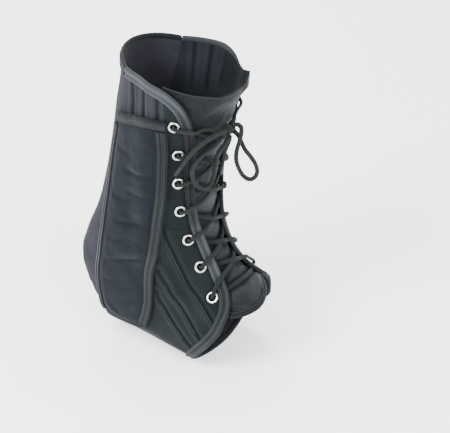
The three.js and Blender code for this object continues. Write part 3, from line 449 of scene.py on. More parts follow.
def body_inner(at, girth):
    """Offset of the cloth's inner face: over the tongue in front, close to the form behind it."""
    beyond = (np.abs(girth) - follow(tongue_half[:, 0], tongue_half[:, 1], at) - 0.03) / 0.14
    return mix(facing_inner, skin_gap, smooth(beyond))


def body_outer(at, girth):
    return body_inner(at, girth) + cloth_wall


def rear_across(at):
    return follow(rear_seam[:, 0], rear_seam[:, 1], at)


def rear_line(first, last):
    """Places on the rear seam between two rows of its table, for shares of the way from 0 to 1."""
    def place(s):
        at = through(rear_seam, mix(first, last, np.asarray(s, float)))[..., 0]
        return np.stack([at, rear_across(at)], -1)
    return place


def back_top(share):
    return mix(-0.035, -0.039, share)


def arch_end(share):
    return 0.920 + 0.015 * np.sin(share * math.pi / 2)


def cloth_finish(name, dark, light, worn_and_lit, pitch, weave="plain", sheen=0.06, rough=0.8,
                 tint=(0.8, 0.82, 0.86)):
    """Woven or knitted cloth on a map in millimetres, with lint, mottling and wear, painted highlights on
    threads and high places, and painted shade in low ones.
    """
    finish = Finish(name)
    lay = finish.node("SeparateXYZ", None, {0: finish.node("UVMap", {"uv_map": "cloth"})})
    across, down = lay * (math.pi / pitch), lay.part("Y") * (math.pi / pitch)
    if weave == "plain":
        threads = (across.sine() * down.sine() + 1) * 0.5
    elif weave == "rib":
        threads = across.sine().size() ** 0.5 * ((down * 2).sine() * 0.18 + 0.82)
    else:
        threads = down.sine().size() ** 0.6 * ((across * 0.5).sine() * 0.1 + 0.9)
    clouds = finish.noise(26.0, 5.0, 0.6)
    lint = finish.noise(1400.0)
    folds = finish.noise(85.0, 3.0)
    wear_and_painted_light = finish.node("Attribute", {"attribute_name": "wear_and_painted_light"}).part("Fac")
    colour = finish.blended(clouds.between(0.34, 0.68), dark, light)
    # Painted highlight: the raised threads are mixed towards a paler tone.
    colour = finish.blended(threads * 0.4, colour, tuple(1.7 * part for part in light))
    # Where the per-point shift is above 0, paler: wear and painted highlights on raised places.
    colour = finish.blended((wear_and_painted_light.most(0.0) * (clouds + 0.35)).least(1.0) * 0.8, colour, worn_and_lit)
    colour = finish.blended(lint.between(0.66, 0.74) * 0.2, colour, worn_and_lit)
    # Where it is below 0, near black: painted shade in seams, creases and beside other parts.
    colour = finish.blended((wear_and_painted_light * -1.0).most(0.0).least(1.0) * 0.85, colour, (0.001, 0.0012, 0.0013))
    bump = finish.raised(folds, 0.0006)
    bump = finish.raised(threads + lint * 0.3, 0.00016, bump)
    return finish.close({"Base Color": colour, "Roughness": rough, "Normal": bump, "Specular IOR Level": 0.09,
                         "Sheen Weight": sheen, "Sheen Roughness": 0.5, "Sheen Tint": tint})


def cloth_piece(name, at, girth, outer, inner, material, keep=None, move=None, wear_and_painted_light=None):
    """A cloth wall on a grid of places: the outer and inner faces and every open edge between them."""
    rows, columns = at.shape
    top, low = on_form(at, girth, outer), on_form(at, girth, inner)
    if move is not None:
        top = top + move
    length = np.linalg.norm(np.diff(top, axis=0, prepend=top[:1]), axis=-1).cumsum(0)
    width = np.linalg.norm(np.diff(top, axis=1, prepend=top[:, :1]), axis=-1).cumsum(1)
    cells = np.ones((rows - 1, columns - 1), bool) if keep is None else keep
    number = np.arange(rows * columns).reshape(rows, columns)
    a, b, c, d = number[:-1, :-1], number[:-1, 1:], number[1:, 1:], number[1:, :-1]
    layer = rows * columns
    faces = np.concatenate([np.stack([a, b, c, d], -1)[cells], np.stack([a, d, c, b], -1)[cells] + layer])
    padded_cells = np.pad(cells, 1)
    walls = []
    for first, second, shift in ((a, b, (-1, 0)), (b, c, (0, 1)), (c, d, (1, 0)), (d, a, (0, -1))):
        beside = padded_cells[1 + shift[0]:rows + shift[0], 1 + shift[1]:columns + shift[1]]
        open_edge = cells & ~beside
        p, q = first[open_edge], second[open_edge]
        walls.append(np.stack([q, p, p + layer, q + layer], -1))
    faces = np.concatenate([faces, *walls])
    used = np.unique(faces)
    fresh = np.full(2 * layer, -1)
    fresh[used] = np.arange(len(used))
    points = np.concatenate([top.reshape(-1, 3), low.reshape(-1, 3)])[used]
    uv = np.tile(np.stack([width.ravel(), length.ravel()], -1), (2, 1))[used]
    flat_wear_and_painted_light = np.zeros(layer) if wear_and_painted_light is None else np.asarray(wear_and_painted_light).ravel()
    return mesh_piece(name, points, fresh[faces].tolist(), material, uv, wear_and_painted_light=np.tile(flat_wear_and_painted_light, 2)[used])


def grid(rows, columns):
    return np.meshgrid(np.linspace(0, 1, rows), np.linspace(0, 1, columns), indexing="ij")


medial_tuck, tuck_from, tuck_span = 0.14, 0.870, 0.09


def tucked(side, at, share):
    """Signed girth of a place on one side (0: already signed); the medial front corner is drawn back."""
    if side == 0:
        return share
    if side > 0:
        share = share + medial_tuck * smooth((at - tuck_from) / tuck_span) * smooth((0.6 - share) / 0.4)
    return side * share


def line_on(places, level=0.0, side=1, step=0.8):
    """Even points in space along a smooth line through [station, share] places."""
    places = through(np.asarray(places, float), np.linspace(0, len(places) - 1, 30 * len(places)))
    return evenly_along(on_form(places[:, 0], tucked(side, places[:, 0], places[:, 1]), level), step)


def nearest(points, line):
    """Millimetres from each point to a line of points, and how far along the line (0 to 1) it is nearest."""
    flat = points.reshape(-1, 3)
    near, along = np.empty(len(flat)), np.empty(len(flat))
    for start in range(0, len(flat), 4000):
        gap = ((flat[start:start + 4000, None, :] - line[None])**2).sum(-1)
        near[start:start + 4000] = np.sqrt(gap.min(1))
        along[start:start + 4000] = gap.argmin(1) / (len(line) - 1)
    return near.reshape(points.shape[:-1]), along.reshape(points.shape[:-1])


elastic_finish = cloth_finish("knitted_elastic", (0.0078, 0.0078, 0.0108), (0.0135, 0.0135, 0.0180),
                              (0.034, 0.034, 0.042), 1.5, "rib", tint=(0.8, 0.78, 0.88))
rib_pitch, rib_height = 3.4, 0.16


def elastic_at(s, t, first_row, last_row, start_at, end_at):
    """Places on the elastic: s runs down between two rows of the rear seam, t from seam to seam (-1 to 1)."""
    share = 1 - np.abs(t)
    line = rear_line(first_row, last_row)(s)[..., 0]
    first, last = rear_line(first_row, last_row)(0.0)[..., 0], rear_line(first_row, last_row)(1.0)[..., 0]
    at = mix(start_at(share), end_at(share), (line - first) / (last - first))
    seam = rear_across(at) + 0.05 / half_girth(at)
    return at, 1 + np.sign(t) * (1 - mix(seam, 1, share))


def knitted(at, girth):
    return rib_height * np.cos(girth * half_girth(at) * math.tau / rib_pitch)


s, t = grid(150, back_columns)
t = 2 * t - 1
at, girth = elastic_at(s, t, 0, kink_row, back_top,
                       lambda share: follow(elastic_hem[:, 0], elastic_hem[:, 1], share))
creases = (np.sin(at * 150 + 2.5 * np.cos(girth * 9)) + np.sin(at * 83 - girth * 14)) * 0.14
creases = creases * smooth((np.abs(t) - 0.25) / 0.4) * smooth((at - 0.35) / 0.2)
elastic_back = cloth_piece("elastic_back", at, girth, body_outer(at, girth) + knitted(at, girth) + creases,
                           body_inner(at, girth), elastic_finish, wear_and_painted_light=smooth(1 - s * 30) * 0.4)
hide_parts("heel_back_panel")
s, t = grid(70, back_columns)
t = 2 * t - 1
at, girth = elastic_at(s, t, kink_row, foot_row, lambda share: 0.712 + 0.056 * np.sin(share * math.pi / 2),
                       arch_end)
arch_band = cloth_piece("arch_band", at, girth, body_outer(at, girth) + knitted(at, girth),
                        body_inner(at, girth), elastic_finish)
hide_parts("sole_strap")
for piece in (elastic_back, arch_band):
    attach(piece, "root")

# Sides
# Each side is nylon pack cloth over thin foam, cut from the elastic to the eyelets and down to the sole
# seam. Rows of stitching quilt it into ribs above the pocket and into crossing bands over the arch.
side_edge = np.array([
    [-0.035, 0.692], [-0.045, 0.593], [-0.052, 0.504], [-0.052, 0.435], [-0.042, 0.376], [-0.020, 0.316],
    [0.012, 0.272], [0.052, 0.235], [0.092, 0.207], [0.136, 0.187], [0.196, 0.167], [0.260, 0.152],
    [0.336, 0.138], [0.424, 0.112], [0.544, 0.077], [0.640, 0.067], [0.724, 0.073], [0.820, 0.117],
    [0.880, 0.179], [0.914, 0.245], [0.936, 0.345], [0.936, 0.470], [0.928, 0.590], [0.920, 0.690]])
facing_seam = np.array([
    [-0.047, 0.400], [0.030, 0.380], [0.090, 0.348], [0.150, 0.320], [0.300, 0.288], [0.460, 0.281],
    [0.600, 0.261], [0.740, 0.258], [0.800, 0.275], [0.856, 0.305], [0.931, 0.315]])
facing_start, facing_end, quarter_start, quarter_end, corner_span = 4.3, 19.6, 3.55, 19.8, 0.08
rib_lines = [
    [[-0.030, 0.618], [0.020, 0.602], [0.075, 0.582], [0.120, 0.566]],
    [[-0.036, 0.520], [0.020, 0.508], [0.070, 0.492], [0.115, 0.478]],
    [[-0.034, 0.430], [0.010, 0.422], [0.056, 0.408], [0.090, 0.398]]]
band_lines = [
    [[0.440, 0.294], [0.510, 0.248], [0.562, 0.220], [0.610, 0.203], [0.658, 0.198], [0.710, 0.204],
     [0.760, 0.223], [0.836, 0.273], [0.896, 0.326], [0.930, 0.362]],
    [[0.625, 0.300], [0.698, 0.294], [0.764, 0.328], [0.826, 0.388], [0.880, 0.452], [0.925, 0.505]],
    [[0.706, 0.364], [0.764, 0.420], [0.818, 0.488], [0.868, 0.548], [0.925, 0.612]]]
cross_line = [[0.436, 0.290], [0.446, 0.240], [0.452, 0.190], [0.454, 0.150]]
shaft_end = 0.085
nylon_finish = cloth_finish("pack_cloth", (0.0013, 0.0029, 0.0030), (0.0034, 0.0060, 0.0062),
                            (0.015, 0.020, 0.021), 0.55, sheen=0.03, rough=0.74)
shaft_finish = cloth_finish("pack_cloth_shaft", (0.0040, 0.0050, 0.0070), (0.0078, 0.0092, 0.0125),
                            (0.024, 0.027, 0.034), 0.55, sheen=0.04, rough=0.76)


def quilted(points, lines, side, depth, swell, reach, groove=0.9):
    """Height of cloth that is stitched down along lines and puffs up beside them, and how near a seam is."""
    height, seam = np.zeros(points.shape[:-1]), np.zeros(points.shape[:-1])
    for line in lines:
        near = nearest(points, line_on(line, 0.0, side))[0]
        height += swell * np.exp(-((near - reach) / (0.55 * reach))**2) - depth * np.exp(-(near / groove)**2)
        seam += np.exp(-(near / (0.9 * groove))**2)
    return height, seam


def between_lines(front, rear, top, bottom):
    """A patch of places inside four lines that meet at its corners."""
    def place(s, t):
        a, b, c, d = front(s), rear(s), top(t), bottom(t)
        s, t = s[..., None], t[..., None]
        first, last = (mix(front(np.float64(end)), rear(np.float64(end)), t) for end in (0, 1))
        return mix(a, b, t) + mix(c, d, s) - mix(first, last, s)
    return place


def quarter_front(s):
    """The side's front line, along the facing's seam and out to the edge at both ends."""
    s = np.asarray(s, float)
    seam = through(facing_seam, s * (len(facing_seam) - 1))
    start, finish = through(side_edge, np.float64(quarter_start)), through(side_edge, np.float64(quarter_end))
    return (seam + (start - facing_seam[0]) * (1 - smooth(s / corner_span))[..., None]
            + (finish - facing_seam[-1]) * smooth((s - 1 + corner_span) / corner_span)[..., None])


def quarter_top(t):
    return through(side_edge, mix(quarter_start, 0, t))


def quarter_sole(t):
    return through(side_edge, mix(quarter_end, len(side_edge) - 1, t))


def side_relief(points, at, side):
    above = 1 - smooth((at - 0.06) / 0.08)
    below = smooth((at - 0.42) / 0.05)
    height, seam = np.zeros_like(at), np.zeros_like(at)
    for lines, depth, swell, reach, groove, shade, where in (
            (rib_lines, 1.5, 0.6, 3.6, 1.0, 1.0, above), (band_lines[:1], 1.0, 0.7, 3.2, 0.8, 1.0, below),
            (band_lines[1:], 1.0, 0.8, 3.6, 1.2, 0.7, below), ([cross_line], 0.5, 0.3, 2.4, 0.9, 0.4, below)):
        raised, near = quilted(points, lines, side, depth, swell, reach, groove)
        height, seam = height + raised * where, seam + near * shade * where
    return height, np.minimum(seam, 1.0)


both_sides = (("lateral", -1), ("medial", 1))
for name, side in both_sides:
    s, t = grid(210, 84)
    place = between_lines(quarter_front, rear_line(0, foot_row), quarter_top, quarter_sole)(s, t)
    at, share = place[..., 0], side * tucked(side, place[..., 0], place[..., 1])
    base = on_form(at, side * share)
    relief, seam = side_relief(base, at, side)
    inside_edges = smooth(np.minimum(np.minimum(s, 1 - s) * 24, np.minimum(t * 30 + 0.6, (1 - t) * 12)))
    # Painted highlight on the quilted puffs, and painted shade in the stitched grooves.
    quarter = cloth_piece(f"side_{name}", at, side * share, body_outer(at, share) + relief * inside_edges,
                          body_inner(at, share), shaft_finish, wear_and_painted_light=np.clip(relief, 0, 1) * 0.5 - seam)
    quarter.data.materials.append(nylon_finish)
    for face in quarter.data.polygons:
        face.material_index = int(face.center.z < shaft_end)
    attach(quarter, "root")
    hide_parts(f"quarter_{name}")

# Eyelet facings
# A strip of doubled nylon is sewn down each front edge, between the side and the binding, and seven
# holes are punched through it for the eyelets. The cloth lies flat round each of them.
eyelet_outer, eyelet_hole, eyelet_wall, eyelet_dome, eyelet_inset = 9.5, 4.8, 0.4, 1.1, 12.0
hole_cut, hole_flat = 3.0, 4.6
tape_wall, tape_lift = 0.8, 0.5
edge_tape = eyelet_inset - eyelet_outer / 2 - layer_gap
eyelet_stations = np.array([0.034, 0.152, 0.266, 0.370, 0.498, 0.668, 0.858])


def edge_across(at):
    rows = side_edge[5:20]
    return follow(rows[:, 0], rows[:, 1], at)


def square_step(at, girth, level, at_way, girth_way, inward):
    """How far the station and the girth change over one mm square to a line on the form."""
    h = 0.004
    by_at = (on_form(at + h, girth, level) - on_form(at - h, girth, level)) / (2 * h)
    by_girth = (on_form(at, girth + h, level) - on_form(at, girth - h, level)) / (2 * h)
    way = by_at * at_way[..., None] + by_girth * girth_way[..., None]
    into = np.cross(outward(at, girth), way) * inward
    into /= np.linalg.norm(into, axis=-1, keepdims=True)
    e, f, g = (by_at * by_at).sum(-1), (by_at * by_girth).sum(-1), (by_girth * by_girth).sum(-1)
    p, q = (into * by_at).sum(-1), (into * by_girth).sum(-1)
    return (p * g - q * f) / (e * g - f * f), (q * e - p * f) / (e * g - f * f)


edge_here = edge_across(eyelet_stations)
edge_slope = (edge_across(eyelet_stations + 0.01) - edge_across(eyelet_stations - 0.01)) / 0.02
step_at, step_across = square_step(eyelet_stations, edge_here, body_outer(eyelet_stations, edge_here),
                                   np.ones(7), edge_slope, 1)
turned = np.sign(step_across)
eyelet_at = eyelet_stations + turned * eyelet_inset * step_at
eyelet_share = edge_here + turned * eyelet_inset * step_across

for name, side in both_sides:
    s, t = grid(300, 44)
    front = through(side_edge, mix(facing_start, facing_end, s[:, 0]))
    rear = through(facing_seam, s[:, 0] * (len(facing_seam) - 1))
    place = mix(front[:, None], rear[:, None], t[..., None])
    at, share = place[..., 0], side * tucked(side, place[..., 0], place[..., 1])
    base = on_form(at, side * share)
    relief, seam = side_relief(base, at, side)
    holes = on_form(eyelet_at, side * eyelet_share)
    near_hole = np.sqrt(((base[:, :, None] - holes[None, None])**2).sum(-1)).min(-1)
    from_flat = near_hole - hole_flat
    relief = relief * smooth(from_flat / 3.0) - 0.35 * np.exp(-(from_flat / 1.2)**2)
    relief = relief * smooth(np.minimum(np.minimum(s, 1 - s) * 30, t * 5))
    from_edge = (place[..., 1] - edge_across(np.clip(at, -0.02, 0.93))) * half_girth(at)
    # Painted shadow of the bow's loops as a dark band between the third and fourth eyelets, and painted shade
    # beside the binding's edge; the quilted puffs get a painted highlight and the stitched grooves painted
    # shade.
    shade = (0.55 * np.exp(-((at - 0.318) / 0.019)**4)
             + 0.6 * np.exp(-((from_edge - edge_tape - layer_gap) / 0.7)**2))
    middle = (near_hole[:-1, :-1] + near_hole[1:, 1:]) / 2
    facing = cloth_piece(f"punched_facing_{name}", at, side * share, body_outer(at, share) + relief,
                         body_inner(at, share), nylon_finish, keep=middle > hole_cut,
                         wear_and_painted_light=np.clip(relief, 0, 1) * 0.4 - seam - shade)
    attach(facing, "root")
    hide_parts(f"eyelet_facing_{name}")

# Stay pockets
# A padded sleeve with a plastic stay inside is sewn on each side behind the eyelets. Its cloth is a
# little long for its lining, so it swells over the padding and lies in soft folds across.
pocket_lift, pocket_edge, pocket_crown = 1.2, 1.4, 1.5
pocket_front = np.array([
    [0.040, 0.362], [0.090, 0.344], [0.142, 0.322], [0.230, 0.302], [0.300, 0.294], [0.412, 0.295],
    [0.500, 0.291], [0.580, 0.297], [0.660, 0.342], [0.732, 0.420], [0.775, 0.530], [0.806, 0.660]])
pocket_top = np.array([
    [0.040, 0.362], [0.050, 0.445], [0.072, 0.535], [0.097, 0.622], [0.112, 0.697]])
pocket_finish = cloth_finish("brushed_nylon", (0.0010, 0.0020, 0.0034), (0.0028, 0.0044, 0.0068),
                             (0.012, 0.016, 0.022), 0.6, sheen=0.05, rough=0.82, tint=(0.8, 0.84, 0.92))
fold_share, swell_share = 0.85, 0.4
# each fold: station and share of its two ends, height in mm, half width in mm
pocket_folds = [
    [0.276, 0.580, 0.250, 0.370, -1.2, 2.4], [0.252, 0.560, 0.230, 0.370, 0.8, 3.2],
    [0.346, 0.530, 0.320, 0.335, -1.3, 2.4], [0.326, 0.560, 0.300, 0.400, 0.8, 2.8],
    [0.373, 0.640, 0.352, 0.430, -0.9, 2.2], [0.446, 0.590, 0.420, 0.325, -1.4, 2.5],
    [0.404, 0.500, 0.383, 0.330, 1.0, 3.0], [0.580, 0.600, 0.562, 0.330, -1.1, 1.8],
    [0.552, 0.520, 0.543, 0.325, 0.7, 3.0], [0.632, 0.640, 0.638, 0.490, -0.6, 2.4],
    [0.480, 0.540, 0.468, 0.340, 0.5, 4.5], [0.158, 0.500, 0.150, 0.355, -0.5, 3.0],
    [0.507, 0.630, 0.498, 0.460, -0.6, 2.6], [0.690, 0.620, 0.702, 0.460, -0.5, 3.0],
    [0.205, 0.650, 0.215, 0.500, -0.6, 2.6], [0.740, 0.560, 0.722, 0.420, 0.6, 4.0]]


def swollen(at, girth, outer, inner, stiff, pressure, growth, cap):
    """Cloth simulation of a padded wall, whose rim and lining stay put while its face swells. It gives
    how far each place of the face moved, in millimetres."""
    rows, columns = at.shape
    wall = cloth_piece("trial_wall", at, girth, outer, inner, nylon_finish)
    rest = np.array([vertex.co for vertex in wall.data.vertices])
    hold = wall.vertex_groups.new(name="sewn")
    inside = np.zeros((rows, columns), bool)
    inside[stiff:-stiff, stiff:-stiff] = True
    held = [k for k in range(len(rest)) if k >= rows * columns or not inside.ravel()[k]]
    hold.add(held, 1.0, "REPLACE")
    cloth = wall.modifiers.new("cloth", "CLOTH").settings
    cloth.quality, cloth.mass, cloth.air_damping = 6, 0.2, 2.0
    cloth.tension_stiffness = cloth.compression_stiffness = 18
    cloth.shear_stiffness, cloth.bending_stiffness = 6, 0.35
    cloth.vertex_group_mass = "sewn"
    cloth.shrink_min = -growth
    cloth.use_pressure, cloth.uniform_pressure_force = True, pressure
    cloth.effector_weights.gravity = 0.0
    scene = bpy.context.scene
    for number in range(1, 21):
        scene.frame_set(number)
    ready = wall.evaluated_get(bpy.context.evaluated_depsgraph_get()).to_mesh()
    moved = (np.array([vertex.co for vertex in ready.vertices]) - rest) * 1000
    scene.frame_set(1)
    bpy.data.objects.remove(wall)
    far = np.linalg.norm(moved, axis=1, keepdims=True)
    moved *= np.minimum(1, cap / np.maximum(far, 1e-6))
    return moved[:rows * columns].reshape(rows, columns, 3)


def refined(coarse, rows, columns):
    """The simulated moves, read smoothly on a finer grid."""
    edge = np.pad(coarse, ((1, 2), (1, 2), (0, 0)), mode="edge")
    last_row, last_column = coarse.shape[0] - 1, coarse.shape[1] - 1
    r, c = grid(rows, columns)
    return softened(edge, np.minimum(r * last_row, last_row - 0.001) + 1,
                    np.minimum(c * last_column, last_column - 0.001) + 1)


def pocket_places(s, t):
    front = lambda v: through(pocket_front, np.asarray(v, float) * (len(pocket_front) - 1))
    rear = rear_line(1.4, 10.7)
    corner = rear(np.float64(0)) - pocket_top[-1]
    top = lambda v: through(pocket_top, v * (len(pocket_top) - 1)) + np.asarray(v)[..., None] * corner
    bottom = lambda v: mix(front(1.0), rear(np.float64(1)), np.asarray(v)[..., None])
    place = between_lines(front, rear, top, bottom)(s, t)
    return place[..., 0], place[..., 1]


def pocket_levels(s, t, at, share):
    """Offsets of the pocket's lining and face, how far its padding rises, and how near a tape's side is."""
    base = body_outer(at, share) + pocket_lift
    width = (pocket_places(s, np.ones_like(t))[1] - pocket_places(s, np.zeros_like(t))[1]) * half_girth(at)
    from_front, from_rear, from_top = t * width, (1 - t) * width, s * 190
    rise = (smooth((from_front - 6.5) / 11) * smooth((from_rear - 2.5) / 9) * smooth((from_top - 6) / 10)
            * smooth((1 - s) * 16))
    seam = sum(np.exp(-((reach - tape_side) / 0.8)**2)
               for reach, tape_side in ((from_front, 8.5), (from_rear, 3.9), (from_top, 8.3)))
    return base, base + pocket_edge + rise * pocket_crown, rise, np.minimum(seam, 1)


for name, side in both_sides:
    s, t = grid(44, 19)
    at, share = pocket_places(s, t)
    base, face, rise, seam = pocket_levels(s, t, at, share)
    moved = swollen(at, side * share, face, base, 3, 1.2, 0.007, 0.8)
    s, t = grid(250, 100)
    at, share = pocket_places(s, t)
    base, face, rise, seam = pocket_levels(s, t, at, share)
    places = on_form(at, side * share)
    folds, valley = np.zeros_like(s), np.zeros_like(s)
    shift = 0.02 if side > 0 else 0.0
    for first_at, first_share, last_at, last_share, height, half_width in pocket_folds:
        sag = [(first_at + last_at) / 2 + shift + 0.006, (first_share + last_share) / 2]
        line = line_on([[first_at + shift, first_share], sag, [last_at + shift, last_share]], 0.0, side)
        near, along = nearest(places, line)
        fold = np.exp(-(near / half_width)**2) * np.sin(math.pi * np.clip(along, 0, 1))**0.6
        folds += height * fold
        valley += max(0.0, -height) * fold
    folded = face + fold_share * folds * (rise * 0.9 + 0.1)
    # Painted highlight on the folds' crests, painted shade in their valleys and beside the tapes' edges.
    pocket = cloth_piece(f"padded_pocket_{name}", at, side * share, folded, base, pocket_finish,
                         move=swell_share * refined(moved, *s.shape) * rise[..., None],
                         wear_and_painted_light=np.clip(folds * rise, 0, 1) * 0.4 - 0.34 * valley * rise - seam * 0.8)
    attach(pocket, "root")
    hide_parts(f"stay_pocket_{name}")

# Tapes and bindings
# Ribbed polyester tape is folded over every raw edge and sewn through, and flat tapes cover the
# pocket's seams. A tape is a little proud at its two woven edges and sunk along its stitching.
# The third colour of each tape is its paler tone, for wear and for the painted highlights on its raised
# edges.
tape_finish = cloth_finish("ribbed_tape", (0.0042, 0.0058, 0.0064), (0.0080, 0.0102, 0.0112),
                           (0.042, 0.047, 0.053), 0.8, "tape", rough=0.7)
piping_finish = cloth_finish("piped_tape", (0.0030, 0.0036, 0.0046), (0.0060, 0.0070, 0.0086),
                             (0.11, 0.115, 0.13), 0.8, "tape", rough=0.6)
fold_over, tape_top = tape_wall + layer_gap, tape_lift + tape_wall


def folded_section(width, below):
    """Tape folded over an edge, as [in from the edge, above the cloth]: over the fold and back under."""
    turn = np.linspace(0, math.pi, 13)
    reach, top, low = fold_over, tape_top, -below - 0.45
    middle, half = (top + low) / 2, (top - low) / 2
    over = np.stack([np.linspace(width, 0.9, 9), np.full(9, top)], -1)
    over[:, 1] += 0.28 * np.cos((over[:, 0] - 0.5) / (width - 0.5) * math.tau) - 0.12
    over[0, 1] -= 0.35
    bend = np.stack([0.9 - (reach + 0.9) * np.sin(turn[1:-1]), middle + half * np.cos(turn[1:-1])], -1)
    under = np.array([[0.9, low], [2.6, low], [2.8, -below - 0.12]])
    back = np.array([[0.2, -below - 0.12], [-0.15, 0.0], [0.3, 0.12], [width, 0.12]])
    return np.concatenate([over, bend, under, back])


def flat_section(width, ridges):
    """Flat tape, as [in from its outer edge, above the cloth]: raised strips with sunk stitching between."""
    across = np.linspace(0, width, 25)
    from_side = np.minimum(across, width - across)
    strips = 0.32 * np.cos(across / width * math.tau * ridges + math.pi) * smooth(from_side / 0.5)
    top = tape_lift + tape_wall * 0.75 + strips - 0.4 * (1 - smooth(from_side / 0.45))
    return np.concatenate([np.stack([across, top], -1), [[width, 0.06], [0, 0.06]]])


def tape_piece(name, node, route, section, base, inward, material=tape_finish, wobble=0.0, shade=0.0):
    """A tape of one section along a route of places. shade darkens it, by one number or by the station."""
    route = np.asarray(route)
    fine = through(route, np.linspace(0, len(route) - 1, 20 * len(route)))
    spaced = evenly_along(np.concatenate([on_form(fine[:, 0], fine[:, 1], 5.0), fine], axis=1), 1.1)[:, 3:]
    way = np.gradient(spaced, axis=0)
    at, girth = spaced[:, 0], spaced[:, 1]
    step = square_step(at, girth, base(at, girth), way[:, 0], way[:, 1], inward)
    run = np.arange(len(at))
    ripple = wobble * (np.sin(run * 0.9) * 0.5 + np.sin(run * 0.37 + 1.0))
    rings = []
    for inside, above in section:
        there = at + inside * step[0], girth + inside * step[1]
        rings.append(on_form(*there, base(*there) + above + (ripple * 0.5 if above > 0.5 else 0)))
    rings = np.stack(rings, axis=1)
    reach = np.concatenate([[0], np.cumsum(np.linalg.norm(np.diff(rings[0], axis=0), axis=1))])
    length = np.concatenate([[0], np.cumsum(np.linalg.norm(np.diff(rings[:, 0], axis=0), axis=1))])
    uv = np.stack([np.tile(reach, len(at)), np.repeat(length, len(section))], -1)
    high = np.array([above for _, above in section])
    # Painted highlight on the tape's raised edges and strips, painted shade where it is sunk along its
    # stitching.
    wear_and_painted_light = np.tile(np.clip((high - tape_lift - tape_wall * 0.8) * 1.6, -0.45, 1), len(at))
    wear_and_painted_light = wear_and_painted_light - np.repeat(shade(at) if callable(shade) else np.full(len(at), shade), len(section))
    piece = mesh_piece(name, rings.reshape(-1, 3), swept(rings), material, uv, wear_and_painted_light=wear_and_painted_light, sharp=1.2)
    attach(piece, "root")
    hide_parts(node)
    return piece


def pocket_level(at, girth):
    return body_outer(at, girth) + pocket_lift + pocket_edge


def signed(side, places):
    places = np.asarray(places)
    return np.stack([places[:, 0], tucked(side, places[:, 0], places[:, 1])], axis=-1)


def back_top_route(reach):
    t = np.linspace(-reach, reach, 40)
    return np.stack(elastic_at(np.zeros(40), t, 0, kink_row, back_top, lambda share: share), -1)


def arch_route(reach):
    t = np.linspace(-reach, reach, 40)
    return np.stack(elastic_at(np.ones(40), t, kink_row, foot_row, lambda share: share, arch_end), -1)


# Edge binding tone by station: a painted shadow of the bow's loops from the first to the fourth eyelet, a
# painted highlight around the fifth and sixth, and lighter towards the top.
def edge_shade(at):
    return (0.9 * smooth((at - 0.055) / 0.03) * (1 - smooth((at - 0.34) / 0.05))
            - 0.35 * smooth((-0.02 - at) / 0.03) - 0.7 * smooth((0.03 - at) / 0.06)
            - 0.7 * smooth((at - 0.42) / 0.05) * (1 - smooth((at - 0.74) / 0.08)))


binding = folded_section(edge_tape, cloth_wall)
for name, side in both_sides:
    edge_route = signed(side, through(side_edge, np.linspace(0, len(side_edge) - 1, 70)))
    tape_piece(f"edge_tape_{name}", f"edge_binding_{name}", edge_route, binding, body_outer, side,
               wobble=0.10, shade=edge_shade)
    top_route = signed(side, through(pocket_top, np.linspace(0.05, 3.98, 14)))
    tape_piece(f"pocket_tape_top_{name}", f"pocket_top_tape_{name}", top_route, flat_section(7.5, 1.0),
               pocket_level, -side, wobble=0.18, shade=0.5)
    front_route = signed(side, through(pocket_front, np.linspace(0.72, 10.95, 34)))
    tape_piece(f"pocket_tape_front_{name}", f"pocket_front_tape_{name}", front_route, flat_section(8.0, 2.0),
               pocket_level, side, wobble=0.12, shade=lambda at: 0.7 - 0.45 * smooth((at - 0.2) / 0.2))
    rear_route = signed(side, rear_line(1.9, 9.1)(np.linspace(0, 1, 26)))
    tape_piece(f"pocket_tape_rear_{name}", f"pocket_rear_tape_{name}", rear_route, flat_section(4.4, 2.0),
               pocket_level, -side, piping_finish, wobble=0.06, shade=-0.15)
tape_piece("back_top_tape", "back_top_binding", back_top_route(0.985), binding, body_outer, -1, wobble=0.1)
tape_piece("arch_tape", "sole_front_binding", arch_route(0.985), binding, body_outer, 1, wobble=0.1)

# Tongue
# Nylon over foam, sewn in below the arch and free at the sides. The lacing presses it into pillows,
# its top edge leans away from the leg, and a narrow tape closes its end over the instep.
tongue_tip = np.array([
    [-1.0, 0.925], [-0.8, 0.956], [-0.5, 0.975], [-0.25, 0.977], [0.0, 0.967], [0.25, 0.944],
    [0.5, 0.912], [0.75, 0.880], [1.0, 0.848]])
tongue_ear = np.array([
    [-1.0, 0.000], [-0.05, 0.000], [0.12, 0.010], [0.24, 0.030], [0.36, 0.018], [0.52, 0.000], [1.0, 0.000]])
tongue_finish = cloth_finish("tongue_nylon", (0.0015, 0.0030, 0.0032), (0.0040, 0.0060, 0.0066),
                             (0.030, 0.031, 0.036), 0.5, rough=0.58, tint=(0.84, 0.82, 0.92))


def tongue_places(s, t):
    top = -0.052 - follow(tongue_ear[:, 0], tongue_ear[:, 1], t)
    at = mix(top, follow(tongue_tip[:, 0], tongue_tip[:, 1], t), s)
    return at, t * follow(tongue_half[:, 0], tongue_half[:, 1], at)


def tongue_lift(at, girth):
    """How far the tongue's top leans away from the leg, most at its inner corner, whose tip rolls back."""
    near_top = smooth((0.03 - at) / 0.08)
    near_front = 1 - smooth((np.abs(girth) - 0.10) / 0.11)
    inner_corner = smooth((girth - 0.02) / 0.09) * near_front
    rolled_back = smooth((-0.045 - at) / 0.04)
    return near_top * near_front * 2.2 + near_top**3 * inner_corner * 2.6 - rolled_back * inner_corner * 2.5


def strand_places():
    """Where the lacing crosses the tongue, as lines of [station, signed girth]."""
    low = list(zip(eyelet_at, -eyelet_share))
    high = list(zip(eyelet_at, eyelet_share))
    lines = [[low[6], high[6]]]
    for k in range(6, 0, -1):
        lines += [[low[k], high[k - 1]], [high[k], low[k - 1]]]
    return lines


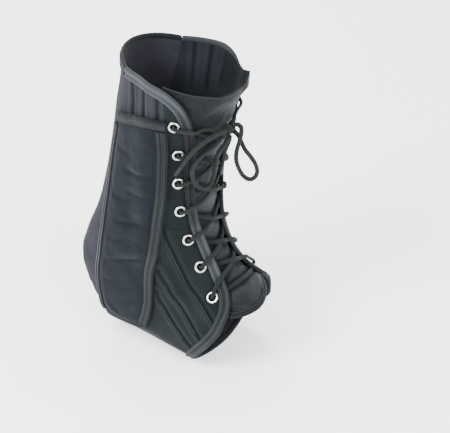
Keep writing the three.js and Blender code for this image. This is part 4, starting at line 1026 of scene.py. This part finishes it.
s, t = grid(48, 25)
at, girth = tongue_places(s, 2 * t - 1)
lift = tongue_lift(at, girth)
moved = swollen(at, girth, tongue_outer + lift, tongue_inner + lift, 1, 1.4, 0.018, 0.8)
s, t = grid(280, 130)
at, girth = tongue_places(s, 2 * t - 1)
base = on_form(at, girth)
pressed = np.full(at.shape, 1e9)
for line in strand_places():
    pressed = np.minimum(pressed, nearest(base, line_on(line, side=0))[0])
share_half = np.abs(2 * t - 1)
open_part = 1 - smooth((np.abs(girth) - edge_across(np.clip(at, 0.0, 0.9)) + 0.03) / 0.04)
pillow = mix(-0.30, 1.35, smooth((pressed - 1.6) / 5.5)) * open_part * smooth((at - 0.03) / 0.06)
toe = smooth((at - 0.86) / 0.05)
wrinkle = 0.30 * np.sin(at * 95 + girth * 12 + 1.5 * np.sin(girth * 21))
wrinkle = wrinkle * open_part * smooth((at - 0.35) / 0.2) * (1 - toe)
toe_fold = toe * (0.5 * np.exp(-((girth + 0.10 + (at - 0.93)) / 0.035)**2)
                  - 0.45 * np.exp(-((girth - 0.03) / 0.03)**2) + 0.4 * np.exp(-((girth - 0.13) / 0.05)**2))
height = (pillow + wrinkle + toe_fold) * smooth((1 - share_half) * 12) * smooth((1 - s) * 30)
lift = tongue_lift(at, girth)
# Painted shade beside the lace strands and darker towards the top; over the toe, painted shade on the outer
# side and a painted highlight on the inner side. The pillows' tops get a painted highlight.
shade = (0.7 * open_part * (1 - smooth((pressed - 1.5) / 3.0)) + 0.5 * (1 - smooth((at - 0.02) / 0.06))
         + 0.45 * toe * smooth((0.02 - girth) / 0.14) - 0.35 * toe * smooth((girth + 0.02) / 0.1))
tongue = cloth_piece("padded_tongue", at, girth, tongue_outer + lift + height, tongue_inner + lift,
                     tongue_finish, move=refined(moved, *s.shape) * smooth((pressed - 1.0) / 4.0)[..., None],
                     wear_and_painted_light=np.clip(height, 0, 1) * 0.6 - shade)
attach(tongue, "root")
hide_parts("tongue")
tongue_end = np.stack(tongue_places(np.ones(60), np.linspace(-1, 1, 60)), -1)
tape_piece("tongue_tape", "tongue_binding", tongue_end, folded_section(3.4, cloth_wall),
           lambda at, girth: tongue_outer + tongue_lift(at, girth), 1, shade=0.6)

# Eyelets
# Seven rolled eyelets a side, of nickel-plated brass. Each has a domed flange in front and a barrel
# that is set through the facing's hole and turned over behind it.
eyelet_finish = Finish("nickel_plate")
tarnish, scratch = eyelet_finish.noise(260.0, 4.0), eyelet_finish.noise(2600.0)
nickel = eyelet_finish.close({
    "Base Color": eyelet_finish.blended(tarnish.between(0.35, 0.7), (0.42, 0.42, 0.39), (0.70, 0.69, 0.65)),
    "Metallic": 1.0, "Roughness": tarnish * 0.22 + 0.16, "Normal": eyelet_finish.raised(scratch, 0.00002)})


def eyelet_profile():
    hole, rim, lip = eyelet_hole / 2, eyelet_outer / 2, eyelet_hole / 2 + 0.3
    turn = np.linspace(0.15, math.pi, 15)
    dome = np.stack([(lip + rim) / 2 - (rim - lip) / 2 * np.cos(turn),
                     0.15 + (eyelet_dome + 0.15) * np.sin(turn)**0.8], -1)
    inside = np.array([[hole, -cloth_wall], [hole, -0.3], [hole + 0.08, 0.0]])
    under = np.array([[rim - 0.15, 0.02], [hole + eyelet_wall, 0.02], [hole + eyelet_wall, -cloth_wall]])
    return np.concatenate([inside, dome, under])


def closed_rings(count, size, first=0):
    """Faces between rings of equally many points, where the last ring joins the first."""
    faces = []
    for k in range(count):
        near, far = first + k * size, first + (k + 1) % count * size
        faces += [(near + j, near + (j + 1) % size, far + (j + 1) % size, far + j) for j in range(size)]
    return faces


profile = eyelet_profile()
sides_round = 40
turn = np.linspace(0, math.tau, sides_round, endpoint=False)
ring_points = np.stack([profile[:, None, 0] * np.cos(turn), profile[:, None, 0] * np.sin(turn),
                        np.repeat(profile[:, 1:], sides_round, axis=1)], -1)
one_eyelet = mesh_piece("one_eyelet", ring_points.reshape(-1, 3), closed_rings(len(profile), sides_round),
                        nickel, sharp=1.0)


def set_along(name, source, points, ways, outs, material, size=(1.0, 1.0, 1.0)):
    """Copies of a small mesh on points, its X along ways and its Z along outs, made one plain mesh."""
    tree = bpy.data.node_groups.new(name + "_set", "GeometryNodeTree")
    tree.interface.new_socket("Points", in_out="INPUT", socket_type="NodeSocketGeometry")
    tree.interface.new_socket("Source", in_out="INPUT", socket_type="NodeSocketObject")
    tree.interface.new_socket("Size", in_out="INPUT", socket_type="NodeSocketVector")
    tree.interface.new_socket("Finish", in_out="INPUT", socket_type="NodeSocketMaterial")
    tree.interface.new_socket("Pieces", in_out="OUTPUT", socket_type="NodeSocketGeometry")
    made = {}
    for key, kind in (("in", "NodeGroupInput"), ("out", "NodeGroupOutput"),
                      ("source", "GeometryNodeObjectInfo"),
                      ("way", "GeometryNodeInputNamedAttribute"), ("up", "GeometryNodeInputNamedAttribute"),
                      ("first", "FunctionNodeAlignRotationToVector"),
                      ("second", "FunctionNodeAlignRotationToVector"),
                      ("place", "GeometryNodeInstanceOnPoints"), ("real", "GeometryNodeRealizeInstances"),
                      ("finish", "GeometryNodeSetMaterial")):
        made[key] = tree.nodes.new(kind)
    for key in ("way", "up"):
        made[key].data_type = "FLOAT_VECTOR"
        made[key].inputs["Name"].default_value = key
    made["first"].axis = "Z"
    made["second"].axis, made["second"].pivot_axis = "X", "Z"
    link = tree.links.new
    link(made["in"].outputs["Source"], made["source"].inputs["Object"])
    link(made["up"].outputs["Attribute"], made["first"].inputs["Vector"])
    link(made["first"].outputs["Rotation"], made["second"].inputs["Rotation"])
    link(made["way"].outputs["Attribute"], made["second"].inputs["Vector"])
    link(made["in"].outputs["Points"], made["place"].inputs["Points"])
    link(made["source"].outputs["Geometry"], made["place"].inputs["Instance"])
    link(made["second"].outputs["Rotation"], made["place"].inputs["Rotation"])
    link(made["in"].outputs["Size"], made["place"].inputs["Scale"])
    link(made["place"].outputs["Instances"], made["real"].inputs["Geometry"])
    link(made["real"].outputs["Geometry"], made["finish"].inputs["Geometry"])
    link(made["in"].outputs["Finish"], made["finish"].inputs["Material"])
    link(made["finish"].outputs["Geometry"], made["out"].inputs["Pieces"])
    mesh = bpy.data.meshes.new(name + "_points")
    mesh.from_pydata((np.asarray(points) * 0.001).tolist(), [], [])
    for key, vectors in (("way", ways), ("up", outs)):
        attribute = mesh.attributes.new(key, "FLOAT_VECTOR", "POINT")
        attribute.data.foreach_set("vector", np.asarray(vectors, np.float32).ravel())
    carrier = bpy.data.objects.new(name + "_points", mesh)
    bpy.context.scene.collection.objects.link(carrier)
    modifier = carrier.modifiers.new("set", "NODES")
    modifier.node_group = tree
    values = {"Source": source, "Size": size, "Finish": material}
    for item in tree.interface.items_tree:
        if item.in_out == "INPUT" and item.name in values:
            modifier[item.identifier] = values[item.name]
    ready = carrier.evaluated_get(bpy.context.evaluated_depsgraph_get())
    result = bpy.data.meshes.new_from_object(ready)
    bpy.data.objects.remove(carrier)
    piece = bpy.data.objects.new(name, result)
    bpy.context.scene.collection.objects.link(piece)
    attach(piece, "root")
    return piece


for name, side in both_sides:
    outs = outward(eyelet_at, side * eyelet_share)
    centres = on_form(eyelet_at, side * eyelet_share, body_outer(eyelet_at, eyelet_share))
    eyelets = set_along(f"eyelets_{name}", one_eyelet, centres, np.cross(outs, [0.2, 0.0, 1.0]), outs, nickel)
    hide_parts(*[f"eyelet_{name}_{k}" for k in range(1, 8)])
bpy.data.objects.remove(one_eyelet)

# Lacing and knot
# One cord is laced from the lowest pair of eyelets up: out of an eyelet, over the binding, across the
# tongue and below the other edge. Its ends meet in the bow's knot, where one is wound round the other.
lace_under = tongue_outer + layer_gap + lace_pressed / 2
lace_low = tongue_outer + 2 * layer_gap + lace_open / 2
lace_high = facing_inner + cloth_wall + max(eyelet_dome, tape_lift + tape_wall) + 0.5 + lace_open / 2


def coming_down(past, reach):
    """Offset of the lace past an edge, where it sinks from the binding to the tongue."""
    return mix(lace_high, lace_low, 1 - (1 - np.clip(past / reach, 0, 1))**2)


# a stop is a station, a signed girth, an offset, the lace's thickness there and its width
def eyelet_stops(side, k):
    pulled = 0.7 / half_girth(eyelet_at[k])
    return [[eyelet_at[k], side * eyelet_share[k], lace_under, lace_pressed, 2.9],
            [eyelet_at[k], side * (eyelet_share[k] - pulled), lace_high, lace_open, 2.9]]


def crossing_stops(side, k, is_upper):
    """Stops from one eyelet over the tongue to the next one up on the other side, over or under its twin."""
    def line(f):
        girth = mix(side * eyelet_share[k], -side * eyelet_share[k - 1], f)
        return mix(eyelet_at[k], eyelet_at[k - 1], f), girth

    def arc(f):
        return line(f)[1] * side * half_girth(line(f)[0])

    leave, arrive = 0.0, 1.0
    while abs(line(leave)[1]) > edge_across(line(leave)[0]):
        leave += 0.002
    while abs(line(arrive)[1]) > edge_across(line(arrive)[0]):
        arrive -= 0.002
    past = fold_over + 0.45 * lace_width
    start, end = arc(leave) - past, arc(arrive) + past + 1
    reach = min(20, 1.6 * start)
    flat_top = 3.4 if start > 15 else 1.8

    def height(f):
        here = arc(f)
        lying = coming_down(start - here, reach)
        if not is_upper:
            return lying
        top = coming_down(start, reach) + lace_open + 0.4
        return max(lying, mix(top, lace_low, np.clip((abs(here) - flat_top) / (abs(end) - flat_top), 0, 1)))

    stops = [[*line(leave * 0.7), lace_high, lace_open, lace_width]]
    for mark in np.linspace(start, end, 14 if start > 15 else 8):
        f = leave
        while arc(f) > mark and f < arrive:
            f += 0.002
        stops.append([*line(f), height(f), lace_open, lace_width])
    stops.append([*line(arrive), lace_under, lace_pressed, lace_width])
    stops.append([*line(mix(arrive, 1, 0.6)), lace_under, lace_pressed, lace_width])
    return stops


def knot_stops(side):
    """Stops from the top eyelet to the knot."""
    reach = 1.05 * (knot_size + layer_gap) / half_girth(knot_place[0])

    def line(f):
        girth = mix(side * eyelet_share[0], knot_place[1] + side * reach, f)
        return mix(eyelet_at[0], knot_place[0], f), girth

    leave = 0.0
    while abs(line(leave)[1]) > edge_across(line(leave)[0]):
        leave += 0.002
    stops = [[*line(part * leave), lace_high, lace_open, lace_width] for part in (0.7, 1.1)]
    for share in (0.3, 0.45, 0.6, 0.8, 1.0):
        rising = float(smooth((share - 0.5) / 0.5))
        offset = mix(coming_down(share * 32, 20) + 0.6, knot_place[2] - 1.2, rising)
        thick = mix(lace_open, lace_width * 0.9, rising)
        stops.append([*line(mix(leave, 1, share)), offset, thick, lace_width])
    return stops


def climb(start_side):
    """All stops of one half of the lace, from the lowest pair of eyelets up to the knot."""
    stops, side = [], start_side
    for k in range(6, 0, -1):
        stops += eyelet_stops(side, k) + crossing_stops(side, k, (k % 2 == 0) == (start_side > 0))
        side = -side
    return stops + eyelet_stops(side, 0) + knot_stops(side)


edge, outermost = float(edge_across(eyelet_at[6])), eyelet_share[6] * 0.8
under = [[eyelet_at[6], girth, lace_under, lace_pressed, lace_width]
         for girth in (outermost, edge, -edge, -outermost)]
across = [[eyelet_at[6], edge * share, lace_low, lace_open, lace_width]
          for share in (0.6, 0.3, 0.0, -0.3, -0.6)]
bar = under[:2] + across + under[2:]
stops = np.array(climb(1)[::-1] + bar + climb(-1))
centres = on_form(stops[:, 0], stops[:, 1], stops[:, 2])
fine = np.linspace(0, len(stops) - 1, 12 * len(stops))
path = through(centres, fine)
press = np.stack([np.interp(fine, np.arange(len(stops)), stops[:, k]) for k in (3, 4)], -1)
outs = outward(stops[:, 0], stops[:, 1])
lean = np.stack([np.interp(fine, np.arange(len(stops)), outs[:, k]) for k in range(3)], -1)
woven = evenly_along(np.concatenate([path, press, lean], axis=1), 0.85)
lace = cord_piece("braided_lacing", woven[:, :3], woven[:, 4], woven[:, 3], woven[:, 5:8], lace_finish,
                  sides=12)
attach(lace, "root")
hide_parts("lace")

knot_centre = on_form(*knot_place)
knot_out, knot_up = outward(*knot_place[:2]), np.array([0.0, 0.0, 1.0])
knot_side = np.cross(knot_up, knot_out)
knot_side /= np.linalg.norm(knot_side)
knot_up = np.cross(knot_out, knot_side)
knot_points, knot_faces, knot_uv = [], [], []
turn_count, turn_sides = 32, 14
turn = np.linspace(0, math.tau, turn_count, endpoint=False)[:, None]
small = np.linspace(0, math.tau, turn_sides, endpoint=False)[None, :, None]
# centre along the side way, half height, half depth, lean of the turn, thickness
knot_turns = ((-0.9, 2.75, 2.9, 0.30, 3.1), (1.5, 2.6, 2.8, -0.25, 2.9), (0.2, 3.2, 1.9, 1.15, 2.7))
for along_side, tall, deep, tilt, thick in knot_turns:
    tall_way = knot_up * math.cos(tilt) + knot_side * math.sin(tilt)
    spread = np.cos(turn) * tall_way * tall + np.sin(turn) * knot_out * deep
    loop = knot_centre + knot_side * along_side + spread
    tangent = np.roll(loop, -1, 0) - np.roll(loop, 1, 0)
    tangent /= np.linalg.norm(tangent, axis=1, keepdims=True)
    spread /= np.linalg.norm(spread, axis=1, keepdims=True)
    third = np.cross(tangent, spread)
    ring = loop[:, None] + (np.cos(small) * spread[:, None] + np.sin(small) * third[:, None]) * thick / 2
    knot_faces += closed_rings(turn_count, turn_sides, len(knot_points) * turn_count * turn_sides)
    knot_uv += [(j / turn_sides, k * 0.6) for k in range(turn_count) for j in range(turn_sides)]
    knot_points.append(ring.reshape(-1, 3))
knot = mesh_piece("tied_knot", np.concatenate(knot_points), knot_faces, lace_finish, knot_uv, "cord",
                  sharp=1.2)
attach(knot, "root")
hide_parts("bow_knot")

# Stitching
# Every tape and seam is sewn in lockstitch with black bonded thread, about ten stitches to 25 mm.
# Each stitch lies in a small dip, so only the thread's back stands out of the cloth.
thread_finish = Finish("bonded_thread")
twist = thread_finish.noise(2200.0)
thread = thread_finish.close({
    "Base Color": thread_finish.blended(twist, (0.003, 0.004, 0.0045), (0.011, 0.0125, 0.014)),
    "Roughness": 0.55, "Normal": thread_finish.raised(twist, 0.00006)})
turn = np.linspace(0, math.tau, 6, endpoint=False)
# along the stitch, radius, height
stitch_marks = ((-1.0, 0.12, -0.22), (-0.8, 0.24, -0.02), (0.0, 0.30, 0.08),
                (0.8, 0.24, -0.02), (1.0, 0.12, -0.22))
stitch_rings = np.stack([
    np.stack([np.full(6, along), np.cos(turn) * radius, np.sin(turn) * radius + height], -1)
    for along, radius, height in stitch_marks])
one_stitch = mesh_piece("one_stitch", stitch_rings.reshape(-1, 3), swept(stitch_rings), thread, sharp=2.0)
stitch_pitch = 2.5
rows = []


def stitch_row(places, level, side=1, inset=None, inward=1, raise_by=0.12):
    """Adds a row of stitches along [station, share] places, on a surface given by its level."""
    places = through(np.asarray(places, float), np.linspace(0, len(places) - 1, 24 * len(places)))
    places = signed(side, places)
    at, girth = places[:, 0], places[:, 1]
    if inset is not None:
        way = np.gradient(places, axis=0)
        step = square_step(at, girth, level(at, girth), way[:, 0], way[:, 1], inward)
        at, girth = at + inset * step[0], girth + inset * step[1]
    points = on_form(at, girth, level(at, girth) + raise_by)
    spaced = evenly_along(np.concatenate([points, outward(at, girth)], axis=1), stitch_pitch)
    way = np.gradient(spaced[:, :3], axis=0)
    rows.append(np.concatenate([spaced, way / np.linalg.norm(way, axis=1, keepdims=True)], axis=1))


def above(level, rise):
    return lambda at, girth: level(at, girth) + rise


on_binding, binding_inset = above(body_outer, tape_top - 0.25), edge_tape * 0.72
for side in (-1, 1):
    stitch_row(through(side_edge, np.linspace(0.2, 22.8, 60)), on_binding, side, binding_inset, side)
    stitch_row(through(pocket_front, np.linspace(0.8, 10.8, 34)), above(pocket_level, tape_lift + 0.42),
               side, 4.0, side)
    stitch_row(through(pocket_top, np.linspace(0.15, 3.9, 12)), above(pocket_level, tape_lift + 0.5),
               side, 6.4, -side)
    stitch_row(rear_line(2.0, 9.0)(np.linspace(0, 1, 24)), above(pocket_level, tape_lift + 0.42),
               side, 1.7, -side)
    for line in rib_lines:
        stitch_row(line[:3], above(body_outer, -0.9), side)
    for line in band_lines:
        stitch_row(line[1:-1], above(body_outer, 0.30), side, 1.7, side)
stitch_row(back_top_route(0.96), on_binding, 1, binding_inset, -1)
stitch_row(arch_route(0.96), on_binding, 1, binding_inset, 1)
stitch_row(tongue_end[2:-2], lambda at, girth: tongue_outer + tape_top - 0.2, 0, 2.4, 1)
sewn = np.concatenate(rows)
stitches = set_along("stitching", one_stitch, sewn[:, :3], sewn[:, 6:9], sewn[:, 3:6], thread,
                     size=(0.95, 0.9, 0.9))
bpy.data.objects.remove(one_stitch)

# Floor and light
# A plain pale floor a little below the sole, a pale surround, and three broad soft lamps: one in
# front, one at the toes' side and a weaker one behind.
floor_finish = Finish("pale_floor")
speckle = floor_finish.noise(6.0)
floor_material = floor_finish.close({
    "Base Color": floor_finish.blended(speckle, (0.93, 0.93, 0.93), (0.95, 0.95, 0.95)), "Roughness": 0.9,
    "Emission Color": (0.9, 0.93, 1.0), "Emission Strength": 0.68})
floor_half, floor_top, floor_under = 3000, -6, -26
floor_corners = ((-floor_half, -floor_half), (floor_half, -floor_half), (floor_half, floor_half),
                 (-floor_half, floor_half))
floor = mesh_piece("floor", [(x, y, z) for z in (floor_top, floor_under) for x, y in floor_corners],
                   [(0, 1, 2, 3), (7, 6, 5, 4), (0, 4, 5, 1), (1, 5, 6, 2), (2, 6, 7, 3), (3, 7, 4, 0)],
                   floor_material)
world = bpy.data.worlds.new("pale_surround")
bpy.context.scene.world = world
world.use_nodes = True
world.node_tree.nodes["Background"].inputs["Color"].default_value = (0.97, 0.98, 1.0, 1.0)
world.node_tree.nodes["Background"].inputs["Strength"].default_value = 2.2
lamps = (("key", (-0.35, -1.25, 1.15), 0.7, 52.0), ("side", (1.3, -0.5, 0.8), 0.7, 24.0),
         ("rim", (-0.9, 0.9, 1.0), 0.6, 16.0))
for name, place, size, power in lamps:
    lamp_data = bpy.data.lights.new(name, "AREA")
    lamp_data.shape, lamp_data.size, lamp_data.energy = "DISK", size, power
    lamp = bpy.data.objects.new(name, lamp_data)
    lamp.location = place
    lamp.rotation_mode = "QUATERNION"
    lamp.rotation_quaternion = (Vector((0.02, 0.0, 0.11)) - Vector(place)).to_track_quat("-Z", "Y")
    bpy.context.scene.collection.objects.link(lamp)
